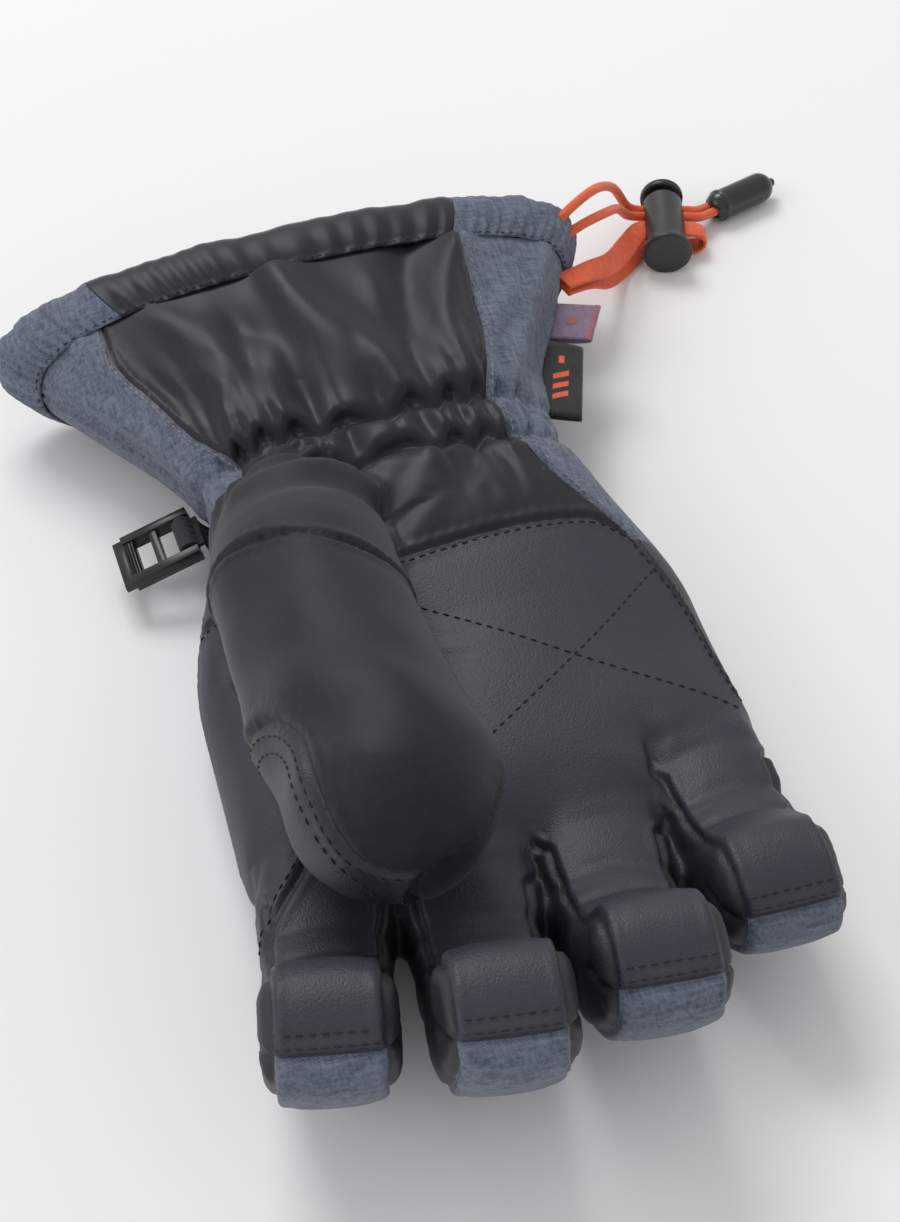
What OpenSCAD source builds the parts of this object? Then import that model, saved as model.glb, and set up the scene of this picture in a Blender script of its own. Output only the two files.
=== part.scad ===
// Insulated gauntlet ski glove for the right hand, lying on its back with the palm up.
// +X is the little finger's side, +Y is the gauntlet, +Z is the palm's side.
// The origin is the centre of the flat patch on the back of the hand that the glove rests on.

/* [Hand] */
// Half width of the hand across the knuckles
hand_half_w = 61; // [58:0.5:64]
// Height of the hand at the finger roots
knuckle_h = 31; // [30:0.5:34]
// Height of the hand at mid palm
palm_h = 33; // [32:0.5:35]
// Depth of the hollow in the palm under the thumb
palm_hollow = 7.5; // [6:0.5:8.5]
// Half width of the gathered wrist
wrist_half_w = 46; // [44:0.5:52]
// Height of the gathered wrist's palm side
wrist_h = 42; // [40:0.5:46]
// Where the wrist is gathered, along Y
wrist_y = 62; // [58:1:66]

/* [Gauntlet] */
// Half width of the gauntlet at its rim
rim_half_w = 84; // [80:1:88]
// Height of the gauntlet at its rim
rim_h = 48; // [44:1:60]
// Where the rim is, along Y
rim_y = 138; // [130:1:150]
// Width of the folded hem
hem_w = 9; // [7:0.5:10]
// Angle by which the gauntlet bends towards the thumb's side
cuff_bend = 4; // [0:0.5:6]

/* [Layers] */
// Thickness of the outer shell fabric
shell_t = 1.2; // [0.8:0.1:1.4]
// Thickness of the waterproof membrane
membrane_t = 0.3; // [0.2:0.1:0.4]
// Thickness of the insulation
insulation_t = 2; // [1.5:0.1:2.4]
// Thickness of the fleece lining
lining_t = 0.8; // [0.5:0.1:1]

/* [Fingers] */
// Width of each finger stall
finger_w = 29; // [26:0.5:29.5]
// Thickness of each finger stall
finger_h = 28; // [26:0.5:28.4]
// Angle through which each finger curls from root to tip
finger_curl = 68; // [40:1:72]
// Radius of the curl, on the finger's centreline
curl_r = 38; // [36:1:48]

/* [Thumb] */
// Radius of the thumb stall
thumb_r = 22; // [20:0.5:23]
// Length of the thumb from the centre of its root to the centre of its tip
thumb_len = 68; // [60:1:84]

/* [Drawcord] */
// Diameter of the elastic drawcord
cord_d = 2.8; // [2:0.1:3]
// Radius of the cord lock's barrel
lock_r = 6; // [5.8:0.1:6.2]
// Travel of the cord lock's button
button_travel = 2.5; // [1:0.5:2.5]
// Width of the pull loop's tape
tape_w = 6.4; // [5:0.2:6.4]

/* [Hidden] */
// Depths of the layers under the outer surface of the shell
membrane_d = shell_t + 1.1;
insulation_d = membrane_d + membrane_t + 0.4;
lining_d = insulation_d + insulation_t + 0.4;
inside_d = lining_d + lining_t;
// Each finger: name, x and y of its hinge, splay about Z, length from the hinge to the tip
fingers = [
    ["index", -45.6, -58, -11, 70],
    ["middle", -15.2, -64, -8, 75],
    ["ring", 15.4, -60, -5, 69],
    ["little", 45.2, -48, 0, 54],
];
hinge_z = knuckle_h / 2;
// How far the hand's shell and its inner layers stop short of each finger's hinge
shell_gap = 7.8;
inner_gap = 13;
thumb_root = [-33, 6, 48];
thumb_turn = [-8, 0, 2];
thumb_clear = 0.6;
// Cord lock: its centre on the ground, and its turn about Z. Its own X is the cord's way through it.
lock_at = [112, 160, 7.4];
lock_turn = -16;
// Cord end: its centre and turn
cord_end_at = [140, 169, 4.8];
cord_end_turn = 18.6;
// The two free strands, from inside the hem through the cord lock and into the cord end
strand_upper = [
    [69.5, 137, 33], [74.5, 139.5, 35.5], [85, 149, 33], [95.5, 162, 22], [102.3, 166.8, 10.5],
    [107.4, 167.5, 7.4], [113.6, 165.7, 7.4], [119.9, 163.9, 7.4], [124, 164.2, 6.2],
    [128.1, 166.6, 4.8], [134.8, 168.9, 4.8],
];
strand_lower = [
    [71, 136, 28], [77.5, 138, 30], [87, 145, 27], [95.5, 157, 18], [101.2, 163.3, 10],
    [106.6, 164.6, 7.4], [112.8, 162.8, 7.4], [119, 161, 7.4], [124, 161, 6.2],
    [129.1, 163.8, 4.8], [135.8, 166.1, 4.8],
];
// The pull loop's tape, from the side seam through the cord lock and back under it
tape_route = [
    [66.8, 122, 24.4], [76.5, 127, 22], [86.5, 136.5, 15.5], [96, 149.5, 9.5], [104.9, 158.8, 7.4],
    [111.2, 157, 7.4], [117.4, 155.2, 7.4], [121.4, 154, 6.6], [122.8, 153.6, 4], [121.2, 154.1, 1.4],
    [117, 155.3, 0.7], [110, 157.3, 0.7], [103, 157, 0.9], [95, 149, 2.6], [86, 137.5, 9.4],
    [77, 128, 18.4], [66.8, 122, 22.2],
];
// The buckle hangs from the thumb's end of the wrist strap
buckle_at = [-52.5, 63, 14.5];
buckle_turn = [0, -18, 3];
$fn = 48;

function mix(a, b, u) = a + (b - a) * u;
function ease(u) = u * u * (3 - 2 * u);
function signed_pow(v, p) = sign(v) * pow(abs(v), p);

// A smooth run through stations [y, value]
function smooth_at(y, table, i = 0) =
    y <= table[0][0] ? table[0][1] :
    i >= len(table) - 1 ? table[len(table) - 1][1] :
    y <= table[i + 1][0]
        ? mix(table[i][1], table[i + 1][1], ease((y - table[i][0]) / (table[i + 1][0] - table[i][0])))
        : smooth_at(y, table, i + 1);

// The hand and gauntlet are one tube along Y: half width, top and underside at each y
function half_w(y) =
    smooth_at(y, [[0, hand_half_w], [wrist_y, wrist_half_w], [rim_y + 20, rim_half_w + 4]]);
function top_z(y) = smooth_at(y, [[-60, knuckle_h], [-20, palm_h], [wrist_y, wrist_h], [rim_y, rim_h]]);
function under_z(y) = smooth_at(y, [[20, 0], [wrist_y, 5], [rim_y - 30, 0]]);
function corner_power(y) = smooth_at(y, [[-60, 0.42], [0, 0.62], [rim_y, 0.84]]);
function hollow(x, y) = palm_hollow * exp(-pow((x - thumb_root[0]) / 22, 2) - pow((y + 12) / 18, 2));

// The gauntlet's bend, as a turn about Z that grows through the wrist
function bent(p) =
    let (turn = cuff_bend * ease(min(max((p[1] - 20) / 60, 0), 1)), x = p[0], y = p[1] - 40)
    [x * cos(turn) - y * sin(turn), 40 + x * sin(turn) + y * cos(turn), p[2]];

// A point of the tube at angle a about Y, at depth d under the shell. 0 is +X and 90 is the palm's side.
flat_drop = 1.6;
function tube_point(y, a, d) =
    let (p = corner_power(y), x = (half_w(y) - d) * signed_pow(cos(a), p),
         h = (top_z(y) - under_z(y) + flat_drop) / 2, middle = top_z(y) - h,
         above = h - (sin(a) > 0 ? hollow(x, y) : 0))
    bent([x, y, max(middle + (above - d) * signed_pow(sin(a), p), under_z(y) + max(d, -under_z(y)))]);

// Seams between the palm's side and the back, as angles about Y
function seam_little(y) =
    smooth_at(y, [[-60, 8], [-12, 26], [14, 37], [44, 53], [wrist_y, 55], [84, 51], [rim_y, 61]]);
function seam_thumb(y) = smooth_at(y, [[-60, 184], [0, 182], [40, 166], [wrist_y, 130], [rim_y, 128]]);

// The line of the finger hinges, as y at each x
root_line = [for (f = fingers, u = [-14, 14]) [f[1] + u * cos(f[3]), f[2] + u * sin(f[3])]];

// A sewn panel: a profile of [y, depth outside, depth inside] stations, swept from angle from(y) to angle to(y).
// With roots above 0, its low end follows the finger roots at that distance.
module panel(stations, from, to, steps, roots = 0) {
    rows = len(stations);
    first = stations[0][0];
    last = stations[rows - 1][0];
    function spot(i, j, side) =
        let (s = stations[i], a = mix(from(s[0]), to(s[0]), j / steps),
             x = hand_half_w * signed_pow(cos(a), 0.5),
             start = roots > 0 ? lookup(x, root_line) + roots : first,
             y = mix(start, last, (s[0] - first) / max(last - first, 0.001)))
        tube_point(y, a, s[1 + side]);
    function at(i, j, side) = (side * (steps + 1) + j) * rows + i;
    points = [for (side = [0, 1], j = [0:steps], i = [0:rows - 1]) spot(i, j, side)];
    quads = concat(
        [for (j = [0:steps - 1], i = [0:rows - 2])
            each [[at(i, j, 0), at(i + 1, j, 0), at(i + 1, j + 1, 0), at(i, j + 1, 0)],
                  [at(i, j, 1), at(i, j + 1, 1), at(i + 1, j + 1, 1), at(i + 1, j, 1)]]],
        [for (j = [0:steps - 1])
            each [[at(0, j, 0), at(0, j + 1, 0), at(0, j + 1, 1), at(0, j, 1)],
                  [at(rows - 1, j, 0), at(rows - 1, j, 1), at(rows - 1, j + 1, 1), at(rows - 1, j + 1, 0)]]],
        [for (i = [0:rows - 2])
            each [[at(i, 0, 0), at(i, 0, 1), at(i + 1, 0, 1), at(i + 1, 0, 0)],
                  [at(i, steps, 0), at(i + 1, steps, 0), at(i + 1, steps, 1), at(i, steps, 1)]]]);
    triangles = [for (q = quads) each [[q[0], q[1], q[2]], [q[0], q[2], q[3]]]];
    polyhedron(points, triangles);
}

// Stations of a plain layer between two y values
function layer(y0, y1, count, outside, inside) =
    [for (i = [0:count]) [mix(y0, y1, i / count), outside, inside]];
gap_deg = 0.8;
heel_y = 22;
cuff_y = rim_y - hem_w;

// The round hole in the hand that the thumb's root turns in
module thumb_hole()
    place_thumb() sphere(thumb_r + thumb_clear + shell_t + 0.1);

module palm_leather()
    color("#3a3a3f")
    difference() {
        panel(layer(-50, heel_y - 0.3, 14, 0, shell_t),
              function (y) seam_little(y) + gap_deg, function (y) seam_thumb(y) - gap_deg, 24, shell_gap);
        thumb_hole();
    }

module palm_heel_panel()
    color("#26262b")
    difference() {
        panel(layer(heel_y, wrist_y - 0.3, 6, 0, shell_t),
              function (y) seam_little(y) + gap_deg, function (y) seam_thumb(y) - gap_deg, 16);
        thumb_hole();
    }

module back_of_hand_panel()
    color("#4d5a66")
    panel(layer(-50, wrist_y - 0.3, 16, 0, shell_t),
          function (y) seam_thumb(y) + gap_deg,
          function (y) seam_little(y) + 360 - gap_deg, 24, shell_gap);

module gauntlet_palm_panel()
    color("#26262b")
    panel(layer(wrist_y, cuff_y - 0.3, 5, 0, shell_t),
          function (y) seam_little(y) + gap_deg,
          function (y) seam_thumb(y) - gap_deg, 10);

module gauntlet_side_little()
    color("#4d5a66")
    panel(layer(wrist_y, cuff_y - 0.3, 5, 0, shell_t),
          function (y) gap_deg, function (y) seam_little(y), 6);

module gauntlet_side_thumb()
    color("#4d5a66")
    panel(layer(wrist_y, cuff_y - 0.3, 5, 0, shell_t),
          function (y) seam_thumb(y), function (y) 180 - gap_deg, 6);

module gauntlet_back_panel()
    color("#4d5a66")
    panel(layer(wrist_y, cuff_y - 0.3, 5, 0, shell_t),
          function (y) 180, function (y) 360, 14);

// The hem is folded over the drawcord: an outer leaf, the rim and an inner leaf
fold_d = 6;
module hem_half(from_a, to_a, steps) {
    from = function (y) from_a;
    to = function (y) to_a;
    rim = rim_y - shell_t;
    panel([[cuff_y, -0.3, shell_t], [rim, -0.3, shell_t]], from, to, steps);
    panel([[rim + 0.05, -0.3, fold_d], [rim_y, 0.2, fold_d - 0.5]], from, to, steps);
    panel([[cuff_y - 4, fold_d - shell_t, fold_d], [rim, fold_d - shell_t, fold_d]], from, to, steps);
}
module hem_casing_palm()
    color("#26262b") hem_half(61, 128, 8);
module hem_casing_back()
    color("#4d5a66") hem_half(128.5, 420.5, 24);

module wrist_elastic()
    color("#1c1c20")
    panel([[wrist_y - 7, shell_t + 0.1, shell_t + 0.45], [wrist_y + 7, shell_t + 0.1, shell_t + 0.45]],
          function (y) 52, function (y) 128, 10);

// An inner layer in two cut pieces, palm side and back, that meet at the side seams
module inner_layer(outside, inside) {
    rows = layer(-50, cuff_y - 5, 16, outside, inside);
    difference() {
        panel(rows, function (y) gap_deg, function (y) 180 - gap_deg, 24, inner_gap);
        thumb_hole();
    }
    panel(rows, function (y) 180, function (y) 360, 24, inner_gap);
}
module hand_membrane()
    color("#d8d8d2") inner_layer(membrane_d, membrane_d + membrane_t);
module hand_insulation()
    color("#f0eee6") inner_layer(insulation_d, insulation_d + insulation_t);
module hand_lining()
    color("#33363b") inner_layer(lining_d, inside_d);

// ---- fingers: each is a box-section stall that curls towards the palm ----
// A finger's own frame has its hinge at the origin, its length along -Y and its palm's side at +Z.
curl_start = 8;
tip_round = 13;
wrap_len = 9;
lip_deg = 38;
finger_steps = 16;

// Centre and direction of the finger at distance s from its hinge, in its Y-Z plane
function finger_angle(s) = finger_curl * min(max((s - curl_start) / (curl_r * finger_curl * PI / 180), 0), 1);
function finger_centre(s) =
    let (a = finger_angle(s), rest = s - curl_start - curl_r * a * PI / 180)
    s < curl_start ? [-s, 0]
    : [-curl_start - curl_r * sin(a) - rest * cos(a), curl_r * (1 - cos(a)) + rest * sin(a)];
function finger_half(s, length, d) =
    let (h = finger_h / 2 - d, into = (s - (length - tip_round)) / (tip_round - d))
    into <= 0 ? h : h * pow(max(1 - pow(into, 2.6), 0), 0.42);
// side is 1 for the palm's side and -1 for the back
function finger_point(s, side, length, d) =
    let (a = finger_angle(s), c = finger_centre(s), h = side * finger_half(s, length, d))
    [c[0] + h * sin(a), c[1] + h * cos(a)];
function finger_line(from, to, side, length, d) =
    [for (i = [0:finger_steps]) finger_point(mix(from, to, i / finger_steps), side, length, d)];
function reversed(list) = [for (i = [len(list) - 1:-1:0]) list[i]];
function tip_line(length, d, side) = finger_line(length - tip_round, length - d, side, length, d);
function root_lip(side, d) =
    [for (i = [6:-1:1]) (finger_h / 2 - d) * [sin(lip_deg * i / 6), side * cos(lip_deg * i / 6)]];

// A solid across the finger from a profile in its Y-Z plane
module across(width, shift = 0)
    translate([shift - width / 2, 0, 0]) rotate([90, 0, 90]) linear_extrude(width) children();

// Palm's side, over the tip and a little way down the back
module finger_leather(length)
    color("#3a3a3f") {
        across(finger_w - 2 * shell_t - 0.2)
        polygon(concat(
            finger_line(0, length - tip_round, 1, length, 0),
            tip_line(length, 0, 1),
            reversed(tip_line(length, 0, -1)),
            [finger_point(length - tip_round - wrap_len, -1, length, 0),
             finger_point(length - tip_round - wrap_len, -1, length, shell_t)],
            tip_line(length, shell_t, -1),
            reversed(tip_line(length, shell_t, 1)),
            reversed(finger_line(0, length - tip_round, 1, length, shell_t))));
        root_tongue(1);
    }

// The tongue that tucks under the hand's panel behind the hinge
module root_tongue(side)
    across(18)
    polygon(concat(root_lip(side, 0.02), [[0, side * (finger_h / 2 - 0.02)], [0, side * (finger_h / 2 - shell_t)]],
                   reversed(root_lip(side, shell_t))));

module finger_back(length)
    color("#4d5a66") {
        across(finger_w - 2 * shell_t - 0.2)
        polygon(concat(
            finger_line(0, length - tip_round - wrap_len - 0.3, -1, length, 0),
            reversed(finger_line(0, length - tip_round - wrap_len - 0.3, -1, length, shell_t))));
        root_tongue(-1);
    }

// Side walls with their root corners cut back
module finger_fourchettes(length)
    color("#26262b")
    for (side = [-1, 1])
        across(shell_t, side * (finger_w - shell_t) / 2)
        polygon(concat(
            [[0, 8]], finger_line(6, length - tip_round, 1, length, 0),
            tip_line(length, 0, 1), reversed(tip_line(length, 0, -1)),
            reversed(finger_line(6, length - tip_round, -1, length, 0)), [[0, -8]]));

// A closed bag inside the stall, from depth outside to depth inside
module finger_bag(length, outside, inside, start)
    difference() {
        across(finger_w - 2 * outside) finger_outline(length, outside, start);
        across(finger_w - 2 * inside) finger_outline(length, inside, start - 1);
    }
module finger_outline(length, d, start)
    polygon(concat(
        finger_line(start, length - tip_round, 1, length, d), tip_line(length, d, 1),
        reversed(tip_line(length, d, -1)), reversed(finger_line(start, length - tip_round, -1, length, d))));
module finger_insulation(length)
    color("#f0eee6") finger_bag(length, shell_t + 0.3, shell_t + 0.3 + insulation_t, 1.5);
module finger_lining(length)
    color("#33363b") finger_bag(length, shell_t + 0.6 + insulation_t, shell_t + 0.6 + insulation_t + lining_t, 1.5);

module place_finger(f)
    translate([f[1], f[2], hinge_z]) rotate([0, 0, f[3]]) children();

module finger_part(f, part) {
    place_finger(f)
        if (part == "leather") finger_leather(f[4]);
        else if (part == "back") finger_back(f[4]);
        else if (part == "fourchettes") finger_fourchettes(f[4]);
        else if (part == "insulation") finger_insulation(f[4]);
        else finger_lining(f[4]);
}

// ---- thumb: a round stall on a ball-shaped root ----
module place_thumb()
    translate(thumb_root) rotate([0, 0, thumb_turn[2]]) rotate([thumb_turn[0], 0, 0]) children();

// A capsule shell along -Y, from depth outside to depth inside, with a mouth at the back and below
mouth_tilt = 42;
module thumb_shell(outside, inside)
    difference() {
        thumb_solid(thumb_r - outside);
        thumb_solid(thumb_r - inside);
        rotate([-mouth_tilt, 0, 0])
        translate([-50, thumb_r * 0.5, -50]) cube(100);
    }
module thumb_solid(r)
    rotate([90, 0, 0]) rotate_extrude()
    intersection() {
        union() {
            square([r, thumb_len]);
            circle(r);
            translate([0, thumb_len]) circle(r);
        }
        translate([0, -2 * r]) square([2 * r, thumb_len + 4 * r]);
    }

// The leather patch is on the side that meets the index finger
module thumb_patch_zone(slack)
    rotate([0, 38, 0])
    translate([-2 * thumb_r, -thumb_len - 2 * thumb_r, -2 * thumb_r])
    cube([4 * thumb_r, thumb_len * 0.72 + 2 * thumb_r - slack, 2 * thumb_r - 7 - slack]);
module thumb_back()
    color("#26262b") place_thumb()
    difference() {
        thumb_shell(0, shell_t);
        thumb_patch_zone(0);
    }
module thumb_leather()
    color("#3a3a3f") place_thumb()
    intersection() {
        thumb_shell(0, shell_t);
        thumb_patch_zone(0.2);
    }
module thumb_insulation()
    color("#f0eee6") place_thumb() thumb_shell(shell_t + 0.3, shell_t + 0.3 + insulation_t);
module thumb_lining()
    color("#33363b") place_thumb()
    thumb_shell(shell_t + 0.6 + insulation_t, shell_t + 0.6 + insulation_t + lining_t);

// The gusset behind the thumb's root, sewn into the hand's round hole
gusset_from = 8;
module thumb_base_gusset()
    color("#26262b") place_thumb()
    difference() {
        sphere(thumb_r + thumb_clear + shell_t);
        sphere(thumb_r + thumb_clear);
        translate([-50, gusset_from - 100, -50]) cube(100);
        translate([-50, -50, -117]) cube(100);
    }

// ---- trim on the hand ----
module index_reinforcement()
    color("#3a3a3f")
    difference() {
        panel(layer(-48, -6, 5, -0.9, -0.1), function (y) 130, function (y) 178, 6);
        thumb_hole();
    }

// The strap crosses the back of the wrist, from the little finger's side to the buckle
strap_w = 11;
strap_y = wrist_y + 4;
module wrist_strap()
    color("#1c1c20")
    panel([[strap_y - strap_w / 2, -1.5, -0.3], [strap_y + strap_w / 2, -1.5, -0.3]],
          function (y) 197, function (y) 350, 18);

module place_buckle()
    translate(buckle_at) rotate(buckle_turn) children();
bar_r = 1.5;
bar_clearance = 0.08;
tab_w = 10;
slot_w = 11.4;
// A webbing loop round the buckle's bar, with a tail that is sewn to the strap
module buckle_tab()
    color("#1c1c20") place_buckle()
    difference() {
        union() {
            rotate([90, 0, 0]) cylinder(r = bar_r + bar_clearance + 1.1, h = tab_w, center = true);
            translate([0, -tab_w / 2, -0.6]) cube([4.2, tab_w, 1.2]);
        }
        rotate([90, 0, 0]) cylinder(r = bar_r + bar_clearance, h = tab_w + 1, center = true);
    }

// A ladder-lock buckle: two rails, the round bar it hangs by, a middle bar and an outer bar with a lip
rail_w = 2.4;
module strap_buckle()
    color("#141416") place_buckle() {
        for (side = [-1, 1])
            translate([-16, side * (slot_w + rail_w) / 2 - rail_w / 2, -1.9]) cube([18.4, rail_w, 3.8]);
        rotate([90, 0, 0]) cylinder(r = bar_r, h = slot_w + 0.4, center = true);
        translate([-8.6, -slot_w / 2 - 0.2, -1.5]) cube([2, slot_w + 0.4, 3]);
        translate([-16, -slot_w / 2 - 0.2, -1.5]) cube([3, slot_w + 0.4, 3]);
        translate([-18.6, -slot_w / 2 - rail_w, -0.7]) cube([2.8, slot_w + 2 * rail_w, 1.4]);
    }

// A folded label in the little finger's side seam, from y0 to y1: two leaves that meet in a fold
module seam_label(y0, y1, reach) {
    from = tube_point(y0, 0, 0);
    to = tube_point(y1, 0, 0);
    along = to - from;
    half = [[0.4, 0.75], [reach, 0.9], [reach + 0.6, 0.1]];
    inner = [[reach, 0.1], [reach - 0.3, 0.45], [0.4, 0.35]];
    below = [for (q = concat(half, inner)) [q[0], -q[1]]];
    translate(from) rotate([0, 0, atan2(along[1], along[0]) - 90]) rotate([-90, 0, 0])
    linear_extrude(norm(along))
    polygon(concat(half, reversed(half_of(below, 3)), half_of(reversed(below), 3), inner));
}
function half_of(list, n) = [for (i = [0:n - 1]) list[i]];
module side_label()
    color("#78647d") seam_label(99, 111, 13);
module hem_tag()
    color("#1a1a1c") seam_label(70, 97, 11);

// ---- drawcord, cord lock, cord end and pull loop ----
function unit(v) = v / norm(v);
function curve_at(p, i, u) =
    let (n = len(p) - 1, a = p[max(i - 1, 0)], b = p[i], c = p[min(i + 1, n)], d = p[min(i + 2, n)])
    0.5 * (2 * b + (c - a) * u + (2 * a - 5 * b + 4 * c - d) * u * u + (3 * b - a - 3 * c + d) * u * u * u);
function smooth_path(p, cuts) =
    concat([for (i = [0:len(p) - 2], k = [0:cuts - 1]) curve_at(p, i, k / cuts)], [p[len(p) - 1]]);

// A section swept along a path. Its first axis stays as close to side as the path allows.
module sweep(path, section, side) {
    n = len(path);
    m = len(section);
    points = [for (i = [0:n - 1])
        let (along = unit(path[min(i + 1, n - 1)] - path[max(i - 1, 0)]),
             across = unit(side - along * (side * along)), up = cross(along, across))
        for (q = section) path[i] + across * q[0] + up * q[1]];
    walls = [for (i = [0:n - 2], j = [0:m - 1])
        let (k = (j + 1) % m)
        each [[i * m + j, i * m + k, (i + 1) * m + k], [i * m + j, (i + 1) * m + k, (i + 1) * m + j]]];
    first_cap = [for (j = [1:m - 2]) [0, j + 1, j]];
    last_cap = [for (j = [1:m - 2]) [0, j, j + 1] + (n - 1) * m * [1, 1, 1]];
    polyhedron(points, concat(walls, first_cap, last_cap));
}
function ring_of(r, sides) = [for (i = [0:sides - 1]) r * [cos(360 * i / sides), sin(360 * i / sides)]];
cord_section = ring_of(cord_d / 2, 8);
lock_axis = [-sin(lock_turn), cos(lock_turn), 0];

module hem_drawcord()
    color("#e8643c")
    sweep([for (i = [0:48]) tube_point(rim_y - 5, mix(30, 365, i / 48), 3)], cord_section, [0, 1, 0]);
module drawcord_strand_upper()
    color("#e8643c") sweep(smooth_path(strand_upper, 3), cord_section, lock_axis);
module drawcord_strand_lower()
    color("#e8643c") sweep(smooth_path(strand_lower, 3), cord_section, lock_axis);
module pull_loop()
    color("#e8643c")
    sweep(smooth_path(tape_route, 4), [[-tape_w / 2, -0.5], [tape_w / 2, -0.5], [tape_w / 2, 0.5], [-tape_w / 2, 0.5]],
          lock_axis);

module place_lock()
    translate(lock_at) rotate([0, 0, lock_turn]) rotate([-90, 0, 0]) children();
// In the lock's own frame Z is the barrel's axis, from the flared foot to the button
bore_r = 4.5;
bore_clearance = 0.08;
bore_floor = -12;
barrel_top = 8.2;
module lock_barrel()
    color("#3c3c40") place_lock()
    difference() {
        union() {
            translate([0, 0, -14]) cylinder(r = lock_r, h = 14 + barrel_top);
            translate([0, 0, -14]) cylinder(r1 = lock_r + 1.2, r2 = lock_r, h = 4);
            translate([0, 0, -14.8]) cylinder(r = lock_r + 1.2, h = 0.9);
        }
        translate([0, 0, bore_floor]) cylinder(r = bore_r, h = 30);
        // ways through for the two strands and for the tape
        translate([-10, -1.7, 1.2]) cube([20, 3.4, 6.4]);
        translate([-10, -0.9, -6.7]) cube([20, 1.8, 7.2]);
    }
module lock_button()
    color("#141416") place_lock()
    difference() {
        union() {
            translate([0, 0, -6.8]) cylinder(r = bore_r - bore_clearance, h = barrel_top + 9.6);
            translate([0, 0, barrel_top + button_travel + 0.3]) cylinder(r = lock_r + 0.4, h = 2);
            translate([0, 0, barrel_top + button_travel + 2.3]) cylinder(r1 = lock_r + 0.4, r2 = lock_r - 1, h = 1.6);
        }
        translate([-10, -1.7, -8]) cube([20, 3.4, 8 + 7.6 + button_travel]);
    }
spring_turns = 3;
module lock_spring()
    color("#b8b8bc") place_lock()
    sweep([for (i = [0:14 * spring_turns])
              [3.4 * cos(i * 360 / 14), 3.4 * sin(i * 360 / 14), mix(-11.6, -7.3, i / (14 * spring_turns))]],
          ring_of(0.35, 6), [0, 0, 1]);

module cord_end(side)
    color("#141416")
    translate(cord_end_at) rotate([0, 0, cord_end_turn])
    difference() {
        rotate([0, 90, 0]) cord_end_solid();
        translate([-20, -10, side > 0 ? -10 : -0.1]) cube([40, 20, 10]);
        translate([-20, -3.1, -1.6]) cube([17, 6.2, 3.2]);
    }
module cord_end_solid()
    intersection() {
        union() {
            translate([0, 0, -7.6]) cylinder(r = 4.6, h = 15.2);
            translate([0, 0, 7.4]) sphere(4.6);
            translate([0, 0, -7.4]) sphere(4.6);
        }
        translate([-20, -20, -11.4]) cube([40, 40, 30]);
    }
module cord_end_cover() cord_end(1);
module cord_end_base() cord_end(-1);

palm_leather();
palm_heel_panel();
back_of_hand_panel();
gauntlet_palm_panel();
gauntlet_side_little();
gauntlet_side_thumb();
gauntlet_back_panel();
hem_casing_palm();
hem_casing_back();
wrist_elastic();
hand_membrane();
hand_insulation();
hand_lining();
thumb_base_gusset();
for (f = fingers, part = ["leather", "back", "fourchettes", "insulation", "lining"])
    finger_part(f, part);
thumb_back();
thumb_leather();
thumb_insulation();
thumb_lining();
index_reinforcement();
wrist_strap();
buckle_tab();
strap_buckle();
hem_drawcord();
drawcord_strand_upper();
drawcord_strand_lower();
lock_barrel();
lock_button();
lock_spring();
cord_end_cover();
cord_end_base();
pull_loop();
side_label();
hem_tag();
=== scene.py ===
import bpy
import numpy as np
from math import cos, sin, radians, pi
from mathutils import Matrix, Vector
from mathutils.bvhtree import BVHTree


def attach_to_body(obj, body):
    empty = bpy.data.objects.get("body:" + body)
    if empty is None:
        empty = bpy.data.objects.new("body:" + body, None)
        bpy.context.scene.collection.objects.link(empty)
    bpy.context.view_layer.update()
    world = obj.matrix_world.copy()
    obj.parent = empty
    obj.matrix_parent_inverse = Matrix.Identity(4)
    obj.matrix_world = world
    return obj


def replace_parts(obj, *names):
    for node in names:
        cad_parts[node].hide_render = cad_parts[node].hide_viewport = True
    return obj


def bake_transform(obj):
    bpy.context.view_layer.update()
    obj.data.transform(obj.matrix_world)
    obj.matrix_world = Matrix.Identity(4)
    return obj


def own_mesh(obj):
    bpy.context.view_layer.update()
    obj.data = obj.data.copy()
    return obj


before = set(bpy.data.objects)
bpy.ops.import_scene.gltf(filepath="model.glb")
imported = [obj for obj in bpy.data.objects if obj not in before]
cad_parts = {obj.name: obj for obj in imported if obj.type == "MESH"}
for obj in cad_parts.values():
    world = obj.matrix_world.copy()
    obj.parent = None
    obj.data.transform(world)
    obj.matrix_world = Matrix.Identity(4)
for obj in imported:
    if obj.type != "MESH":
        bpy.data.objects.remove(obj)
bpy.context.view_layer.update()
scene = bpy.context.scene
mm = 0.001

# camera
viewpoint = {"azimuth": -16, "elevation": 48, "distance": 0.495, "target": (0.0035, 0.0155, 0.020),
    "angle": 33.2}


def addCamera():
    side, up = radians(viewpoint["azimuth"]), radians(viewpoint["elevation"])
    away = Vector((sin(side) * cos(up), -cos(side) * cos(up), sin(up)))
    data = bpy.data.cameras.new("camera")
    data.sensor_fit = "VERTICAL"
    data.angle = radians(viewpoint["angle"])
    camera = bpy.data.objects.new("camera", data)
    scene.collection.objects.link(camera)
    camera.location = Vector(viewpoint["target"]) + away * viewpoint["distance"]
    camera.rotation_euler = (-away).to_track_quat("-Z", "Y").to_euler()
    scene.camera = camera


addCamera()

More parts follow.
